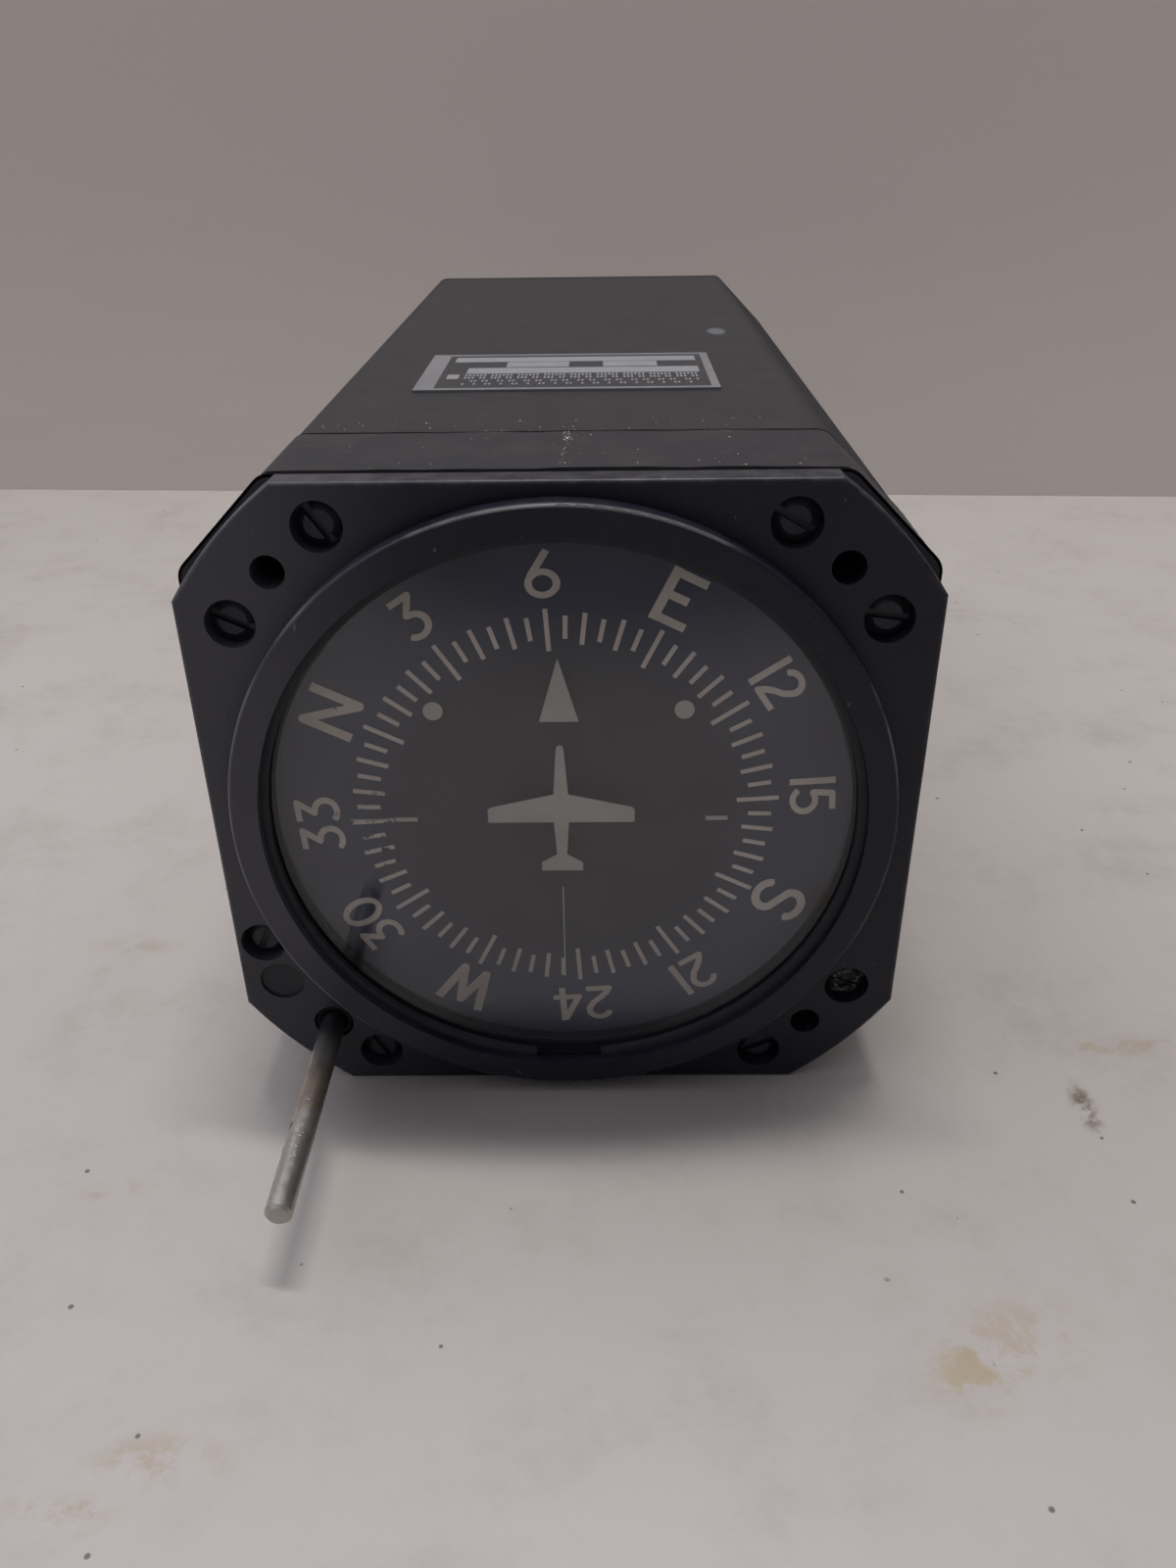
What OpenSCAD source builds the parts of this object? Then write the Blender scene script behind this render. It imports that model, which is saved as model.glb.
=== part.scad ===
// Directional gyro indicator for a 3 1/8 inch panel hole, air driven, with an upright compass card.
// Origin: centre of the flange's front face. +X right, +Y into the case, +Z up. Millimetres.

/* [Panel flange] */
// Width of the flange
flange_w = 85.16; // [84:0.02:87]
// Height of the flange
flange_h = 82.4; // [81.8:0.1:84]
// Thickness of the flange
flange_t = 3.3; // [2.8:0.1:5]
// Radius of the arcs that cut the flange's corners
corner_r = 51; // [50:0.5:52]
// Rounding of the flange's front edges
edge_r = 0.5; // [0.2:0.1:1]
// Radius of the circle that the panel screws stand on
bolt_circle_r = 44.45; // [44:0.05:45]
// Radius of the three panel screw holes
panel_hole_r = 1.925; // [1.5:0.025:2.2]
// Depth of the panel screw holes
panel_hole_l = 9; // [6:0.5:9.5]

/* [Bezel ring and glass] */
// Outer radius of the ring that passes through the panel
ring_r = 39.5; // [38:0.1:40.5]
// Height of the ring in front of the flange
ring_h = 3; // [2.5:0.1:5]
// Bore of the ring, which takes the glass
glass_bore_r = 36; // [35.6:0.1:36.6]
// Radius of the sight opening behind the glass
sight_r = 34.6; // [33.5:0.1:35]
// Depth of the glass's front face behind the ring's front face
glass_inset = 2; // [1.5:0.1:2.4]
// Thickness of the cover glass
glass_t = 2; // [1.5:0.1:2.2]
// Thickness of the gasket behind the glass
glass_gasket_t = 0.4; // [0.2:0.05:0.6]
// Height of the wire ring that holds the glass
snap_t = 0.9; // [0.6:0.1:1.2]
// Open angle of the wire ring
snap_gap = 14; // [8:1:30]

/* [Flange screws] */
// Radius of the screw heads
screw_head_r = 2.5; // [2.2:0.05:2.7]
// Radius of the counterbores round the heads
screw_sink_r = 2.85; // [2.8:0.05:3.1]
// Depth of the counterbores
screw_sink = 2.3; // [1.8:0.1:2.5]
// Width of the screw slots
slot_w = 0.85; // [0.5:0.05:1]
// Height of the sloping edge round the screw heads
head_slope = 0.55; // [0.2:0.05:0.8]
// Radius of the screw shanks
screw_r = 1.4; // [1.1:0.05:1.6]

/* [Case] */
// How far the flange stands over each side of the case
side_step = 0.48; // [0.4:0.02:1]
// How far the flange stands over the top and the bottom of the case
top_step = 0.4; // [0.4:0.02:1]
// Distance from the axis to the slanted corner faces
case_d = 51.27; // [50.6:0.01:51.6]
// Rounding along the case's long edges
case_edge_r = 2.2; // [1:0.1:3]
// Wall of the case
case_wall = 2.6; // [2.2:0.1:2.8]
// Station of the case's rear end
case_rear = 172.5; // [166:0.5:190]
// Depth of the thick rim at the front of the case
rim_l = 7; // [6.8:0.1:7.5]
// Thickness of the gasket between flange and case
front_gasket_t = 0.5; // [0.3:0.05:0.8]
// Width of the sealing tape round the front seam
tape_l = 19.5; // [15:0.5:24]
// Thickness of the sealing tape
tape_t = 0.38; // [0.1:0.02:0.4]
// Width of the data plate on the top
plate_w = 42.7; // [30:0.1:50]
// Length of the data plate along the case
plate_l = 27; // [20:0.5:40]
// Thickness of the data plate
plate_t = 0.3; // [0.1:0.05:0.35]

/* [Compass card] */
// Radius of the card
card_r = 35.5; // [35:0.1:36]
// Gap between gasket seat and card
card_gap = 0.7; // [0.5:0.05:1]
// Thickness of the card
card_t = 0.8; // [0.5:0.1:1.2]
// Thickness of the paint of the graduations and glass marks
ink_t = 0.06; // [0.04:0.01:0.1]
// Width of a graduation line
tick_w = 0.55; // [0.3:0.05:0.8]
// Heading in degrees that the card shows at rest
card_heading = 63.56; // [0:0.01:359]

/* [Heading gears] */
// Room between the bevel gears' pitch circle and the case's inside
bevel_room = 8.2; // [7.8:0.1:8.3]
// Teeth of each bevel gear
bevel_teeth = 72; // [48:12:72]
// Face width of the bevel teeth along their axis
bevel_face = 6; // [4:0.5:6]
// Free play of the gear teeth along the pitch line
tooth_play = 0.14; // [0.1:0.01:0.2]

/* [Setting gears] */
// Tooth size of the setting gears, pitch diameter over teeth
setting_module = 0.5; // [0.495:0.001:0.505]
// Thickness of the setting gears
setting_gear_t = 4; // [3:0.1:4.2]
// Travel of the setting shaft when it is pushed in
push_travel = 5; // [4.5:0.1:5.2]

/* [Setting shaft] */
// Radius of the bare end of the setting shaft
shaft_r = 1.5875; // [1.5:0.0125:1.6]
// Length of the shaft in front of the flange
shaft_out = 32.3; // [20:0.1:40]
// Running clearance of shafts and pivots
run_gap = 0.03; // [0.02:0.005:0.06]

/* [Gyro] */
// Radius of the gyro rotor
rotor_r = 17.8; // [15:0.1:18]
// Width of the gyro rotor
rotor_w = 15; // [10:0.5:16]
// Number of air buckets round the rotor
buckets = 24; // [12:12:24]
// Outer radius of the rotor housing
housing_r = 21; // [20.5:0.1:21.2]
// Outer radius of the upright gimbal ring
gimbal_r = 28.6; // [28.2:0.1:28.8]
// Width of the upright gimbal ring
gimbal_w = 9; // [6:0.5:9.5]
// Radius of the gimbal pivots
pivot_r = 1.5; // [1.2:0.05:1.6]

/* [Air filter] */
// Outer radius of the air filter
filter_r = 24; // [20:0.5:25]
// Length of the air filter
filter_l = 30; // [20:1:44]
// Radius of the thread hole of the suction port
port_r = 4.25; // [3.5:0.05:5]
// Depth of the thread hole of the suction port
port_l = 9; // [7:0.5:11]

/* [Hidden] */
$fn = 72;
eps = 0.01;
// Clearance of pieces that seat in each other, and of pressed ones
fit_gap = 0.05;
press_gap = 0.02;

// Sizes of the case, inside too, and the bevel gears that fit in it
case_w = flange_w - 2 * side_step;
case_h = flange_h - 2 * top_step;
in_w = case_w - 2 * case_wall;
in_h = case_h - 2 * case_wall;
in_d = case_d - case_wall;
floor_z = -in_h / 2;
bevel_r = in_h / 2 - bevel_room;

// Stations along Y, from the front to the rear
glass_y0 = -ring_h + glass_inset;
glass_y1 = glass_y0 + glass_t;
seat_y = glass_y1 + glass_gasket_t;
seat_t = 1;
card_y0 = seat_y + seat_t + card_gap;
card_y1 = card_y0 + card_t;
lip_l = 3.2;
lip_r = glass_bore_r + 1.45;
case_front = flange_t + front_gasket_t;
rim_rear = case_front + rim_l;
collar_y0 = rim_rear + 2.2;
collar_l = 2.5;
bridge_y0 = 26;
bridge_t = 3;
bridge_y1 = bridge_y0 + bridge_t;
setting_y0 = bridge_y1 + 6;
setting_y1 = setting_y0 + setting_gear_t;
card_disc_y = setting_y1 + 2;
web_t = 2;
bevel_y = card_disc_y + web_t;
yaw_y = bevel_y + bevel_r;
bulkhead_y0 = yaw_y + bevel_r + 9;
bulkhead_t = 3;
bulkhead_y1 = bulkhead_y0 + bulkhead_t;
rear_gasket_t = 0.5;
cover_y0 = case_rear + rear_gasket_t;
cover_t = 3.5;
cover_y1 = cover_y0 + cover_t;

// Rooms in the front casting and the case's rim
rim_r = lip_r + fit_gap;
snap_groove_r = glass_bore_r + 0.35;
card_room_r = card_r + 0.9;
inner_edge_r = case_edge_r - 1.2;

// Places of the flange's small features: angle round the axis, and the angle of each screw's slot
diagonal = bolt_circle_r / sqrt(2);
panel_holes = [45, 135, 315];
plain_screws = [[35, -8], [55, -30], [125, -55], [145, -25], [235, -60], [305, 25]];
worn_screw_angle = 325;
odd_screw = [3.58 - flange_w / 2, -18.2];
plug_at = [odd_screw[0] + 1.6, odd_screw[1] - 6.2];
plug_y1 = 1.1;
screw_head_t = 1.2;
screw_top = screw_sink - screw_head_t;
screw_end = rim_rear - 1.3;
shaft_at = [-diagonal, -diagonal];
all_corners = [45, 135, 225, 315];
lug_r = 4.8;
small_screw_r = 1.2;
screw_tip_gap = 0.5;
lug_floor = 1;
rear_screw_l = 8;
frame_screw_l = 5.5;
bridge_screw_l = 5;

// Lines of the card: how far their outer ends stand from the card's edge, and their lengths
long_line = [9.35, 5.1];
medium_line = [9.74, 3.86];
short_line = [10.2, 2.8];

// Sizes of the marks printed on the glass
mark_shift = -0.3;
dot_ring = 20.5;
dot_r = 1.15;
half_plane = [[0.2, 9.95], [0.42, 9.6], [0.52, 8.6], [0.88, 3.35], [8.5, 1.6], [8.86, 1.25],
    [8.86, -0.35], [8.7, -0.5], [0.92, -0.5], [0.62, -5.1], [2.45, -6.2], [2.55, -6.4],
    [2.55, -7.45]];

// Setting gear train: card wheel, idler and pinion, all on axes along Y
card_wheel_teeth = 96;
idler_teeth = 36;
pinion_teeth = 12;
card_wheel_r = card_wheel_teeth * setting_module / 2;
idler_r = idler_teeth * setting_module / 2;
pinion_r = pinion_teeth * setting_module / 2;
near_arm = card_wheel_r + idler_r;
far_arm = idler_r + pinion_r;
idler_swing = acos((bolt_circle_r * bolt_circle_r + near_arm * near_arm - far_arm * far_arm)
    / (2 * bolt_circle_r * near_arm));
idler_angle = 225 + idler_swing;
idler_at = [near_arm * cos(idler_angle), near_arm * sin(idler_angle)];
idler_to_pinion = atan2(shaft_at[1] - idler_at[1], shaft_at[0] - idler_at[0]);
idler_turn = mesh_turn(idler_angle, card_wheel_teeth, 0, idler_teeth);
pinion_turn = mesh_turn(idler_to_pinion, idler_teeth, idler_turn, pinion_teeth);

// Bevel gear teeth in the plane of their wide end
bevel_pitch = 2 * bevel_r / bevel_teeth;
bevel_add = 1.05 * bevel_pitch;
bevel_ded = 1.45 * bevel_pitch;
bevel_slope = 0.257;
bevel_web_r = bevel_r - bevel_ded - 1.1;
gear_screw_r = 0.9;
gear_screw_ring = bevel_r - 6.4;
drum_r = 12.3;
drum_t = 2;

// Gyro sizes
pivot_bore_r = pivot_r + run_gap;
bearing_r = 4;
yaw_bearing_t = 3;
arm_z = in_h / 2 - 0.2;
arm_t = 2.8;
arm_half_w = 7.5;
boss_z = bevel_r + web_t + drum_t + 0.4;
gimbal_in_r = gimbal_r - 2.2;
rotor_bore_r = 2.5;
housing_in_r = rotor_r + 1;
housing_half = rotor_w / 2 + 4.5;
window_angles = [100, 130, 280, 310];
jet_angles = [60, 240];
jet_r = 1.3;
cap_t = 2;
cap_screw_r = 0.7;
cap_screw_ring = (housing_r + housing_in_r) / 2;
tilt_bearing_r = 3.6;
tilt_bearing_x0 = gimbal_r - 2.6;
tilt_bearing_x1 = gimbal_r;

// Card carrier sizes
card_shaft_r = 2.5;
card_bearing_r = 6.5;
card_bearing_l = 4;
tube_front = 8;
tube_rear = 4;
tube_y0 = bridge_y0 - tube_front;
tube_y1 = bridge_y1 + tube_rear;
bridge_half_w = in_w / 2 - 0.6;
bridge_screw_x = in_w / 2 - 3.5;
bridge_screw_z = 14;
side_lug_x = in_w / 2 - 6.5;
side_lug_half = 4;

// Setting shaft sizes
inner_shaft_r = shaft_r - 0.1875;
shaft_bore_r = shaft_r + run_gap;
inner_bore_r = inner_shaft_r + run_gap;
shaft_step_y = 0.2;
bore_step_y = shaft_step_y + push_travel + 0.4;
lever_pin_r = 1.5;
pin_room = 4.4563;
pin_reach = bevel_r + bevel_add + lever_pin_r + pin_room;
pin_gap = 0.3;
shaft_rear = yaw_y - sqrt(pin_reach * pin_reach - shaft_at[0] * shaft_at[0]) - lever_pin_r - pin_gap;
bush_r = 2.58;
bush_front = 1.2;
collar_r = 3.85;
clip_r = 2.6;
clip_t = 0.7;
spring_wire_r = 0.25;
spring_r = 3.1;
spring_turns = 6;
guide_y0 = bevel_y + 2;
guide_y1 = guide_y0 + 3;
idler_bush_r = 2.9;
post_r = 1.5;

// Caging lever: place of its pivot post, and its pin and pad counted from there
lever_at = [-24, shaft_rear + lever_pin_r + pin_gap + push_travel / 2];
lever_pin = [shaft_at[0] - lever_at[0], -push_travel / 2];
lever_pad = [0.3, 17];
lever_pad_r = 1.2;
lever_z0 = floor_z + 0.6;
lever_z1 = min(shaft_at[1] - shaft_r - 0.1, -bevel_r - web_t - 1.1);
lever_t = 1.5;

// Air passages
duct_x = 10.3;
duct_z = floor_z + 2.3;
duct_r = 1.5;
elbow_r = 2.5;
duct_stub = 2.5;
manifold_t = 3;
pleats = 36;
pleat_depth = 2.5;
stud_r = 2;
pipe_r = 3;
filter_y0 = bulkhead_y1 + manifold_t;
filter_y1 = filter_y0 + filter_l;
port_at = [22, -22];
port_neck_r = port_r + 1.75;
port_in = 5;
port_out = 8;
hex_l = 5;
port_y0 = cover_y0 - port_in;
port_y1 = cover_y1 + port_out;
screen_r = 16;
screen_rings = 3;
screen_pitch = 4;
screen_hole_r = 1.2;

plate_y = 47;

// All sub-parts, in the order that they are drawn

// Turn of a gear that puts its gap on the other gear's tooth, on the line at angle a between them
function mesh_turn(a, n1, turn1, n2) = a + 180 - 360 / n2 * (0.5 - (a - turn1) / (360 / n1));

// Outline of a gear with straight flanks: pitch radius r, heights above and below it, flank slope
function gear_outline(n, r, add, ded, slope, play) =
    let (deg = 180 / PI / r, half = 90 / n - play / 2 * deg,
         at_tip = half - add * slope * deg, at_root = half + ded * slope * deg)
    [for (i = [0:n - 1], k = [[-at_root, -ded], [-at_tip, add], [at_tip, add], [at_root, -ded]])
        (r + k[1]) * [cos(360 * i / n + k[0]), sin(360 * i / n + k[0])]];

// Places of all flange screws, the worn one and the odd one last
function screw_places() = concat(
    [for (s = plain_screws) bolt_circle_r * [cos(s[0]), sin(s[0])]],
    [bolt_circle_r * [cos(worn_screw_angle), sin(worn_screw_angle)], odd_screw]);

// Corner i of an octagon whose faces stand at w/2, d and h/2 from the axis
function face_distance(i, w, h, d) = i % 2 == 1 ? d : (i % 4 == 0 ? w / 2 : h / 2);
function octagon_corner(i, w, h, d) =
    let (a = face_distance(i, w, h, d), b = face_distance(i + 1, w, h, d), s = sin(45))
    [(a * sin(45 * i + 45) - b * sin(45 * i)) / s, (b * cos(45 * i) - a * cos(45 * i + 45)) / s];

// Cylinder along Y from y0 to y1
module bar_y(y0, y1, r, x = 0, z = 0) {
    translate([x, y1, z]) rotate([90, 0, 0]) cylinder(h = y1 - y0, r = r);
}

// Ring along Y from y0 to y1
module ring_y(y0, y1, outer, inner, x = 0, z = 0) {
    difference() {
        bar_y(y0, y1, outer, x, z);
        bar_y(y0 - 1, y1 + 1, inner, x, z);
    }
}

// Flat outline drawn in X and Z, as thick as y0 to y1
module slab_y(y0, y1) {
    translate([0, y1, 0]) rotate([90, 0, 0]) linear_extrude(height = y1 - y0) children();
}

// Profile of radius and Y, turned about an axis along Y
module turned_y(x = 0, z = 0) {
    translate([x, 0, z]) rotate([-90, 0, 0]) rotate_extrude() children();
}

// Box between two corners
module block(low, high) {
    translate(low) cube(high - low);
}

// Regular outline with flat sides, for bores that carry a toothed rim
module flat_circle(n, r) {
    polygon([for (i = [0:n - 1]) r * [cos(360 * i / n), sin(360 * i / n)]]);
}

// Octagon with rounded corners
module case_outline(w, h, d, r) {
    centres = [for (i = [0:7]) octagon_corner(i, w - 2 * r, h - 2 * r, d - r)];
    polygon([for (i = [0:7], k = [0, 45])
        centres[i] + r * [cos(45 * i + k), sin(45 * i + k)]]);
    for (c = centres) translate(c) circle(r = r, $fn = 48);
}

// Flange outline seen along one axis, with its two front edges rounded
module edge_profile(w) {
    translate([-w / 2, edge_r]) square([w, flange_t - edge_r]);
    translate([-w / 2 + edge_r, 0]) square([w - 2 * edge_r, flange_t]);
    for (s = [-1, 1]) translate([s * (w / 2 - edge_r), edge_r]) circle(r = edge_r, $fn = 32);
}

// Slotted screw along Y: head with a sloping edge from its top face, shank to a depth
module slotted_screw(x, z, top, head_t, head_r, shank_r, shank_end, slot_angle) {
    slope = head_slope * head_t / screw_head_t;
    difference() {
        union() {
            turned_y(x, z) polygon([[0, top], [head_r - 1.6 * slope, top], [head_r, top + slope],
                [head_r, top + head_t], [0, top + head_t]]);
            bar_y(top + head_t - eps, shank_end, shank_r, x, z);
        }
        translate([x, top, z]) rotate([0, -slot_angle, 0])
            cube([3 * head_r, head_t, slot_w], center = true);
    }
}

// Ball bearing along Y with its races and shields marked by shallow steps
module bearing_y(y0, y1, outer, inner) {
    third = (outer - inner) / 4;
    step = 0.25;
    turned_y() polygon([[inner, y0], [inner + third, y0], [inner + third, y0 + step],
        [outer - third, y0 + step], [outer - third, y0], [outer, y0], [outer, y1],
        [outer - third, y1], [outer - third, y1 - step], [inner + third, y1 - step],
        [inner + third, y1], [inner, y1]]);
}

// Toothed bevel rim with its wide end at height 0 and its apex at height r
module bevel_rim(turn) {
    small = (bevel_r - bevel_face) / bevel_r;
    difference() {
        linear_extrude(height = bevel_face, scale = small) rotate(turn) difference() {
            polygon(gear_outline(bevel_teeth, bevel_r, bevel_add, bevel_ded, bevel_slope, tooth_play));
            flat_circle(36, gear_screw_ring - 1.6);
        }
        for (a = [0:60:300]) rotate(a) translate([gear_screw_ring, 0, -1])
            cylinder(h = 4.6, r = (gear_screw_r + press_gap) / cos(22.5), $fn = 8);
    }
}

// Flat web that a bevel rim is screwed to, along Z from 0 down to its thickness
module bevel_web(bore) {
    difference() {
        translate([0, 0, -web_t]) cylinder(h = web_t, r = bevel_web_r);
        translate([0, 0, -web_t - 1]) cylinder(h = web_t + 2, r = bore);
        for (a = [30:60:330]) rotate(a) translate([16.5, 0, -web_t - 1])
            cylinder(h = web_t + 2, r = 3.8);
        for (a = [0:60:300]) rotate(a) translate([gear_screw_ring, 0, -web_t - 1])
            cylinder(h = web_t + 2, r = gear_screw_r + fit_gap);
    }
}

// Spur rim of the setting gears, as a flat outline at its place
module spur_outline(teeth, turn, bore) {
    difference() {
        rotate(turn) polygon(gear_outline(teeth, teeth * setting_module / 2, 0.9 * setting_module,
            1.2 * setting_module, 0.36, tooth_play));
        flat_circle(24, bore);
    }
}

// Outline of a sheet that lies between flange and case, open for the card, the screws and the shaft
module seam_sheet_outline() {
    difference() {
        case_outline(case_w, case_h, case_d, case_edge_r);
        circle(r = lip_r + 0.1);
        for (a = panel_holes)
            translate(bolt_circle_r * [cos(a), sin(a)]) circle(r = panel_hole_r + 0.2);
        for (s = screw_places()) translate(s) circle(r = screw_r + 0.1);
        translate(shaft_at) circle(r = bush_r + 0.1);
    }
}

// Flange plate with arc corners and rounded front edges
module flange_plate() {
    intersection() {
        translate([0, 0, -flange_h]) linear_extrude(height = 2 * flange_h) edge_profile(flange_w);
        rotate([0, 90, 0]) translate([0, 0, -flange_w]) linear_extrude(height = 2 * flange_w)
            edge_profile(flange_h);
        turned_y() intersection() {
            edge_profile(2 * corner_r);
            square([2 * corner_r, flange_t]);
        }
    }
}

// Ring in front of the flange, with a rounded front edge
module ring_profile() {
    translate([0, -ring_h + edge_r]) square([ring_r, ring_h]);
    translate([0, -ring_h]) square([ring_r - edge_r, ring_h]);
    translate([ring_r - edge_r, -ring_h + edge_r]) circle(r = edge_r, $fn = 32);
}

// Front casting: flange, ring round the glass and the lip that enters the case
module front_bezel() {
    color("#202226") difference() {
        union() {
            flange_plate();
            turned_y() ring_profile();
            bar_y(flange_t - eps, flange_t + lip_l, lip_r);
        }
        bar_y(-ring_h - 1, seat_y, glass_bore_r);
        bar_y(glass_y0 - snap_t, glass_y0, snap_groove_r);
        bar_y(seat_y - 1, seat_y + seat_t + eps, sight_r);
        bar_y(seat_y + seat_t, flange_t + lip_l + 1, card_room_r);
        for (a = panel_holes)
            bar_y(-1, flange_t + 1, panel_hole_r, bolt_circle_r * cos(a), bolt_circle_r * sin(a));
        for (s = screw_places()) {
            bar_y(-1, screw_sink, screw_sink_r, s[0], s[1]);
            bar_y(-1, flange_t + 1, screw_r + fit_gap, s[0], s[1]);
        }
        bar_y(-1, plug_y1, screw_sink_r, plug_at[0], plug_at[1]);
        bar_y(-1, flange_t + 1, bush_r + press_gap, shaft_at[0], shaft_at[1]);
    }
}

// Open wire ring in its groove in front of the glass
module glass_snap_ring() {
    reach = 1.2 * ring_r;
    half = snap_gap / 2;
    color("#26282c") difference() {
        ring_y(glass_y0 - snap_t + press_gap, glass_y0 - press_gap, snap_groove_r - fit_gap,
            snap_groove_r - 1.3);
        slab_y(-ring_h - 1, seat_y) polygon([[0, 0], reach * [sin(half), -cos(half)],
            reach * [-sin(half), -cos(half)]]);
    }
}

module cover_glass() {
    color([0.8, 0.85, 0.85, 0.3]) bar_y(glass_y0, glass_y1, glass_bore_r - 0.1);
}

module glass_gasket() {
    color("#18181a") ring_y(glass_y1, seat_y, glass_bore_r - 0.1, sight_r + 0.05);
}

// Fixed marks printed on the back of the glass: aeroplane, top index, dots, side marks, lubber line
module index_marks() {
    color("#74746f") slab_y(glass_y1, glass_y1 + ink_t) translate([mark_shift, 0]) {
        polygon(concat(half_plane,
            [for (i = [len(half_plane) - 1:-1:0]) [-half_plane[i][0], half_plane[i][1]]]));
        polygon([[0, 21], [2.3, 13.05], [-2.3, 13.05]]);
        for (s = [-1, 1]) {
            rotate(90 + s * 45) translate([dot_ring, 0]) circle(r = dot_r);
            translate([s * 18.75, 0]) square([2.65, 0.55], center = true);
        }
        translate([-0.07, -dot_ring - 3.4]) square([0.14, 14]);
        translate([-dot_ring - 5, -0.06]) square([5.4, 0.12]);
    }
}

module flange_screws() {
    color("#2a2b2e") {
        for (s = plain_screws)
            slotted_screw(bolt_circle_r * cos(s[0]), bolt_circle_r * sin(s[0]), screw_top, screw_head_t,
                screw_head_r, screw_r, screw_end, s[1]);
        slotted_screw(odd_screw[0], odd_screw[1], screw_top, screw_head_t, screw_head_r, screw_r,
            screw_end, 65);
    }
}

// The lower right screw, whose slot is chewed wide
module worn_screw() {
    x = bolt_circle_r * cos(worn_screw_angle);
    z = bolt_circle_r * sin(worn_screw_angle);
    color("#4a4a48") difference() {
        slotted_screw(x, z, screw_top, screw_head_t, screw_head_r, screw_r, screw_end, -20);
        translate([x, screw_top, z]) rotate([0, -35, 0]) cube([2.4, 0.7, 1.5], center = true);
        translate([x + 0.9, screw_top, z - 0.5]) rotate([0, 25, 0]) cube([1.6, 0.5, 1.1], center = true);
    }
}

module blind_plug() {
    color("#232428") bar_y(plug_y1 - 0.75, plug_y1, screw_sink_r - fit_gap, plug_at[0], plug_at[1]);
}

// Sheet gaskets at the front and the rear of the case
module case_gaskets() {
    color("#141414") {
        slab_y(flange_t, case_front) seam_sheet_outline();
        slab_y(case_rear, cover_y0) difference() {
            case_outline(case_w - 0.4, case_h - 0.4, case_d - 0.2, case_edge_r);
            difference() {
                case_outline(in_w + 0.4, in_h + 0.4, in_d + 0.2, inner_edge_r);
                for (a = all_corners) translate(bolt_circle_r * [cos(a), sin(a)]) circle(r = lug_r);
            }
            for (a = all_corners)
                translate(bolt_circle_r * [cos(a), sin(a)]) circle(r = small_screw_r + fit_gap);
        }
    }
}

// Round lugs in the four corners of the case
module corner_lugs(y0, y1, corners) {
    for (a = corners) bar_y(y0, y1, lug_r, bolt_circle_r * cos(a), bolt_circle_r * sin(a));
}

// Main housing: rim for the flange screws, lugs for bridge, gyro frame, shaft and rear cover
module case_body() {
    color("#3c3c3e") difference() {
        union() {
            difference() {
                slab_y(case_front, case_rear) case_outline(case_w, case_h, case_d, case_edge_r);
                slab_y(rim_rear, case_rear + 1) case_outline(in_w, in_h, in_d, inner_edge_r);
                bar_y(case_front - 1, rim_rear + 1, rim_r);
            }
            for (m = [0, 1], z = [-1, 1]) mirror([m, 0, 0])
                block([side_lug_x, bridge_y1, z * bridge_screw_z - side_lug_half],
                    [in_w / 2 + 1, bridge_y1 + bridge_screw_l + lug_floor,
                    z * bridge_screw_z + side_lug_half]);
            corner_lugs(guide_y0, guide_y1, [225]);
            corner_lugs(bulkhead_y0 - frame_screw_l - screw_tip_gap - lug_floor, bulkhead_y0, all_corners);
            corner_lugs(case_rear - rear_screw_l - screw_tip_gap - lug_floor, case_rear, all_corners);
        }
        for (a = panel_holes)
            bar_y(case_front - 1, panel_hole_l, panel_hole_r,
                bolt_circle_r * cos(a), bolt_circle_r * sin(a));
        for (s = screw_places()) bar_y(case_front - 1, screw_end + 0.5, screw_r + press_gap, s[0], s[1]);
        bar_y(case_front - 1, rim_rear + 1, bush_r + press_gap, shaft_at[0], shaft_at[1]);
        bar_y(guide_y0 - 1, guide_y1 + 1, inner_bore_r, shaft_at[0], shaft_at[1]);
        for (x = [-1, 1], z = [-1, 1])
            bar_y(bridge_y1 - 1, bridge_y1 + bridge_screw_l + screw_tip_gap, small_screw_r + press_gap,
                x * bridge_screw_x, z * bridge_screw_z);
        for (a = all_corners) {
            bar_y(bulkhead_y0 - frame_screw_l - screw_tip_gap, bulkhead_y0 + 1, small_screw_r + press_gap,
                bolt_circle_r * cos(a), bolt_circle_r * sin(a));
            bar_y(case_rear - rear_screw_l - screw_tip_gap, case_rear + 1, small_screw_r + press_gap,
                bolt_circle_r * cos(a), bolt_circle_r * sin(a));
        }
    }
}

// Sealing tape wrapped round the front seam
module seam_tape() {
    color("#323234") slab_y(flange_t + 0.1, flange_t + 0.1 + tape_l) difference() {
        case_outline(case_w + 2 * tape_t, case_h + 2 * tape_t, case_d + tape_t, case_edge_r + tape_t);
        case_outline(case_w + 0.04, case_h + 0.04, case_d + press_gap, case_edge_r + press_gap);
    }
}

module data_plate() {
    color("#9a9c9c") block([-plate_w / 2, plate_y, case_h / 2],
        [plate_w / 2, plate_y + plate_l, case_h / 2 + plate_t]);
}

// Flanged bush for the setting shaft, with a step in its bore that stops the shaft's thick end
module shaft_bush() {
    color("#8a7440") {
        ring_y(bush_front, bore_step_y + eps, bush_r, shaft_bore_r, shaft_at[0], shaft_at[1]);
        ring_y(bore_step_y, rim_rear + eps, bush_r, inner_bore_r, shaft_at[0], shaft_at[1]);
        ring_y(rim_rear, rim_rear + 0.8, 3.6, inner_bore_r, shaft_at[0], shaft_at[1]);
    }
}

module shaft_seal() {
    color("#111111") turned_y(shaft_at[0], shaft_at[1])
        translate([shaft_bore_r + 0.45, bush_front - 0.5]) circle(r = 0.43, $fn = 24);
}

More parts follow.
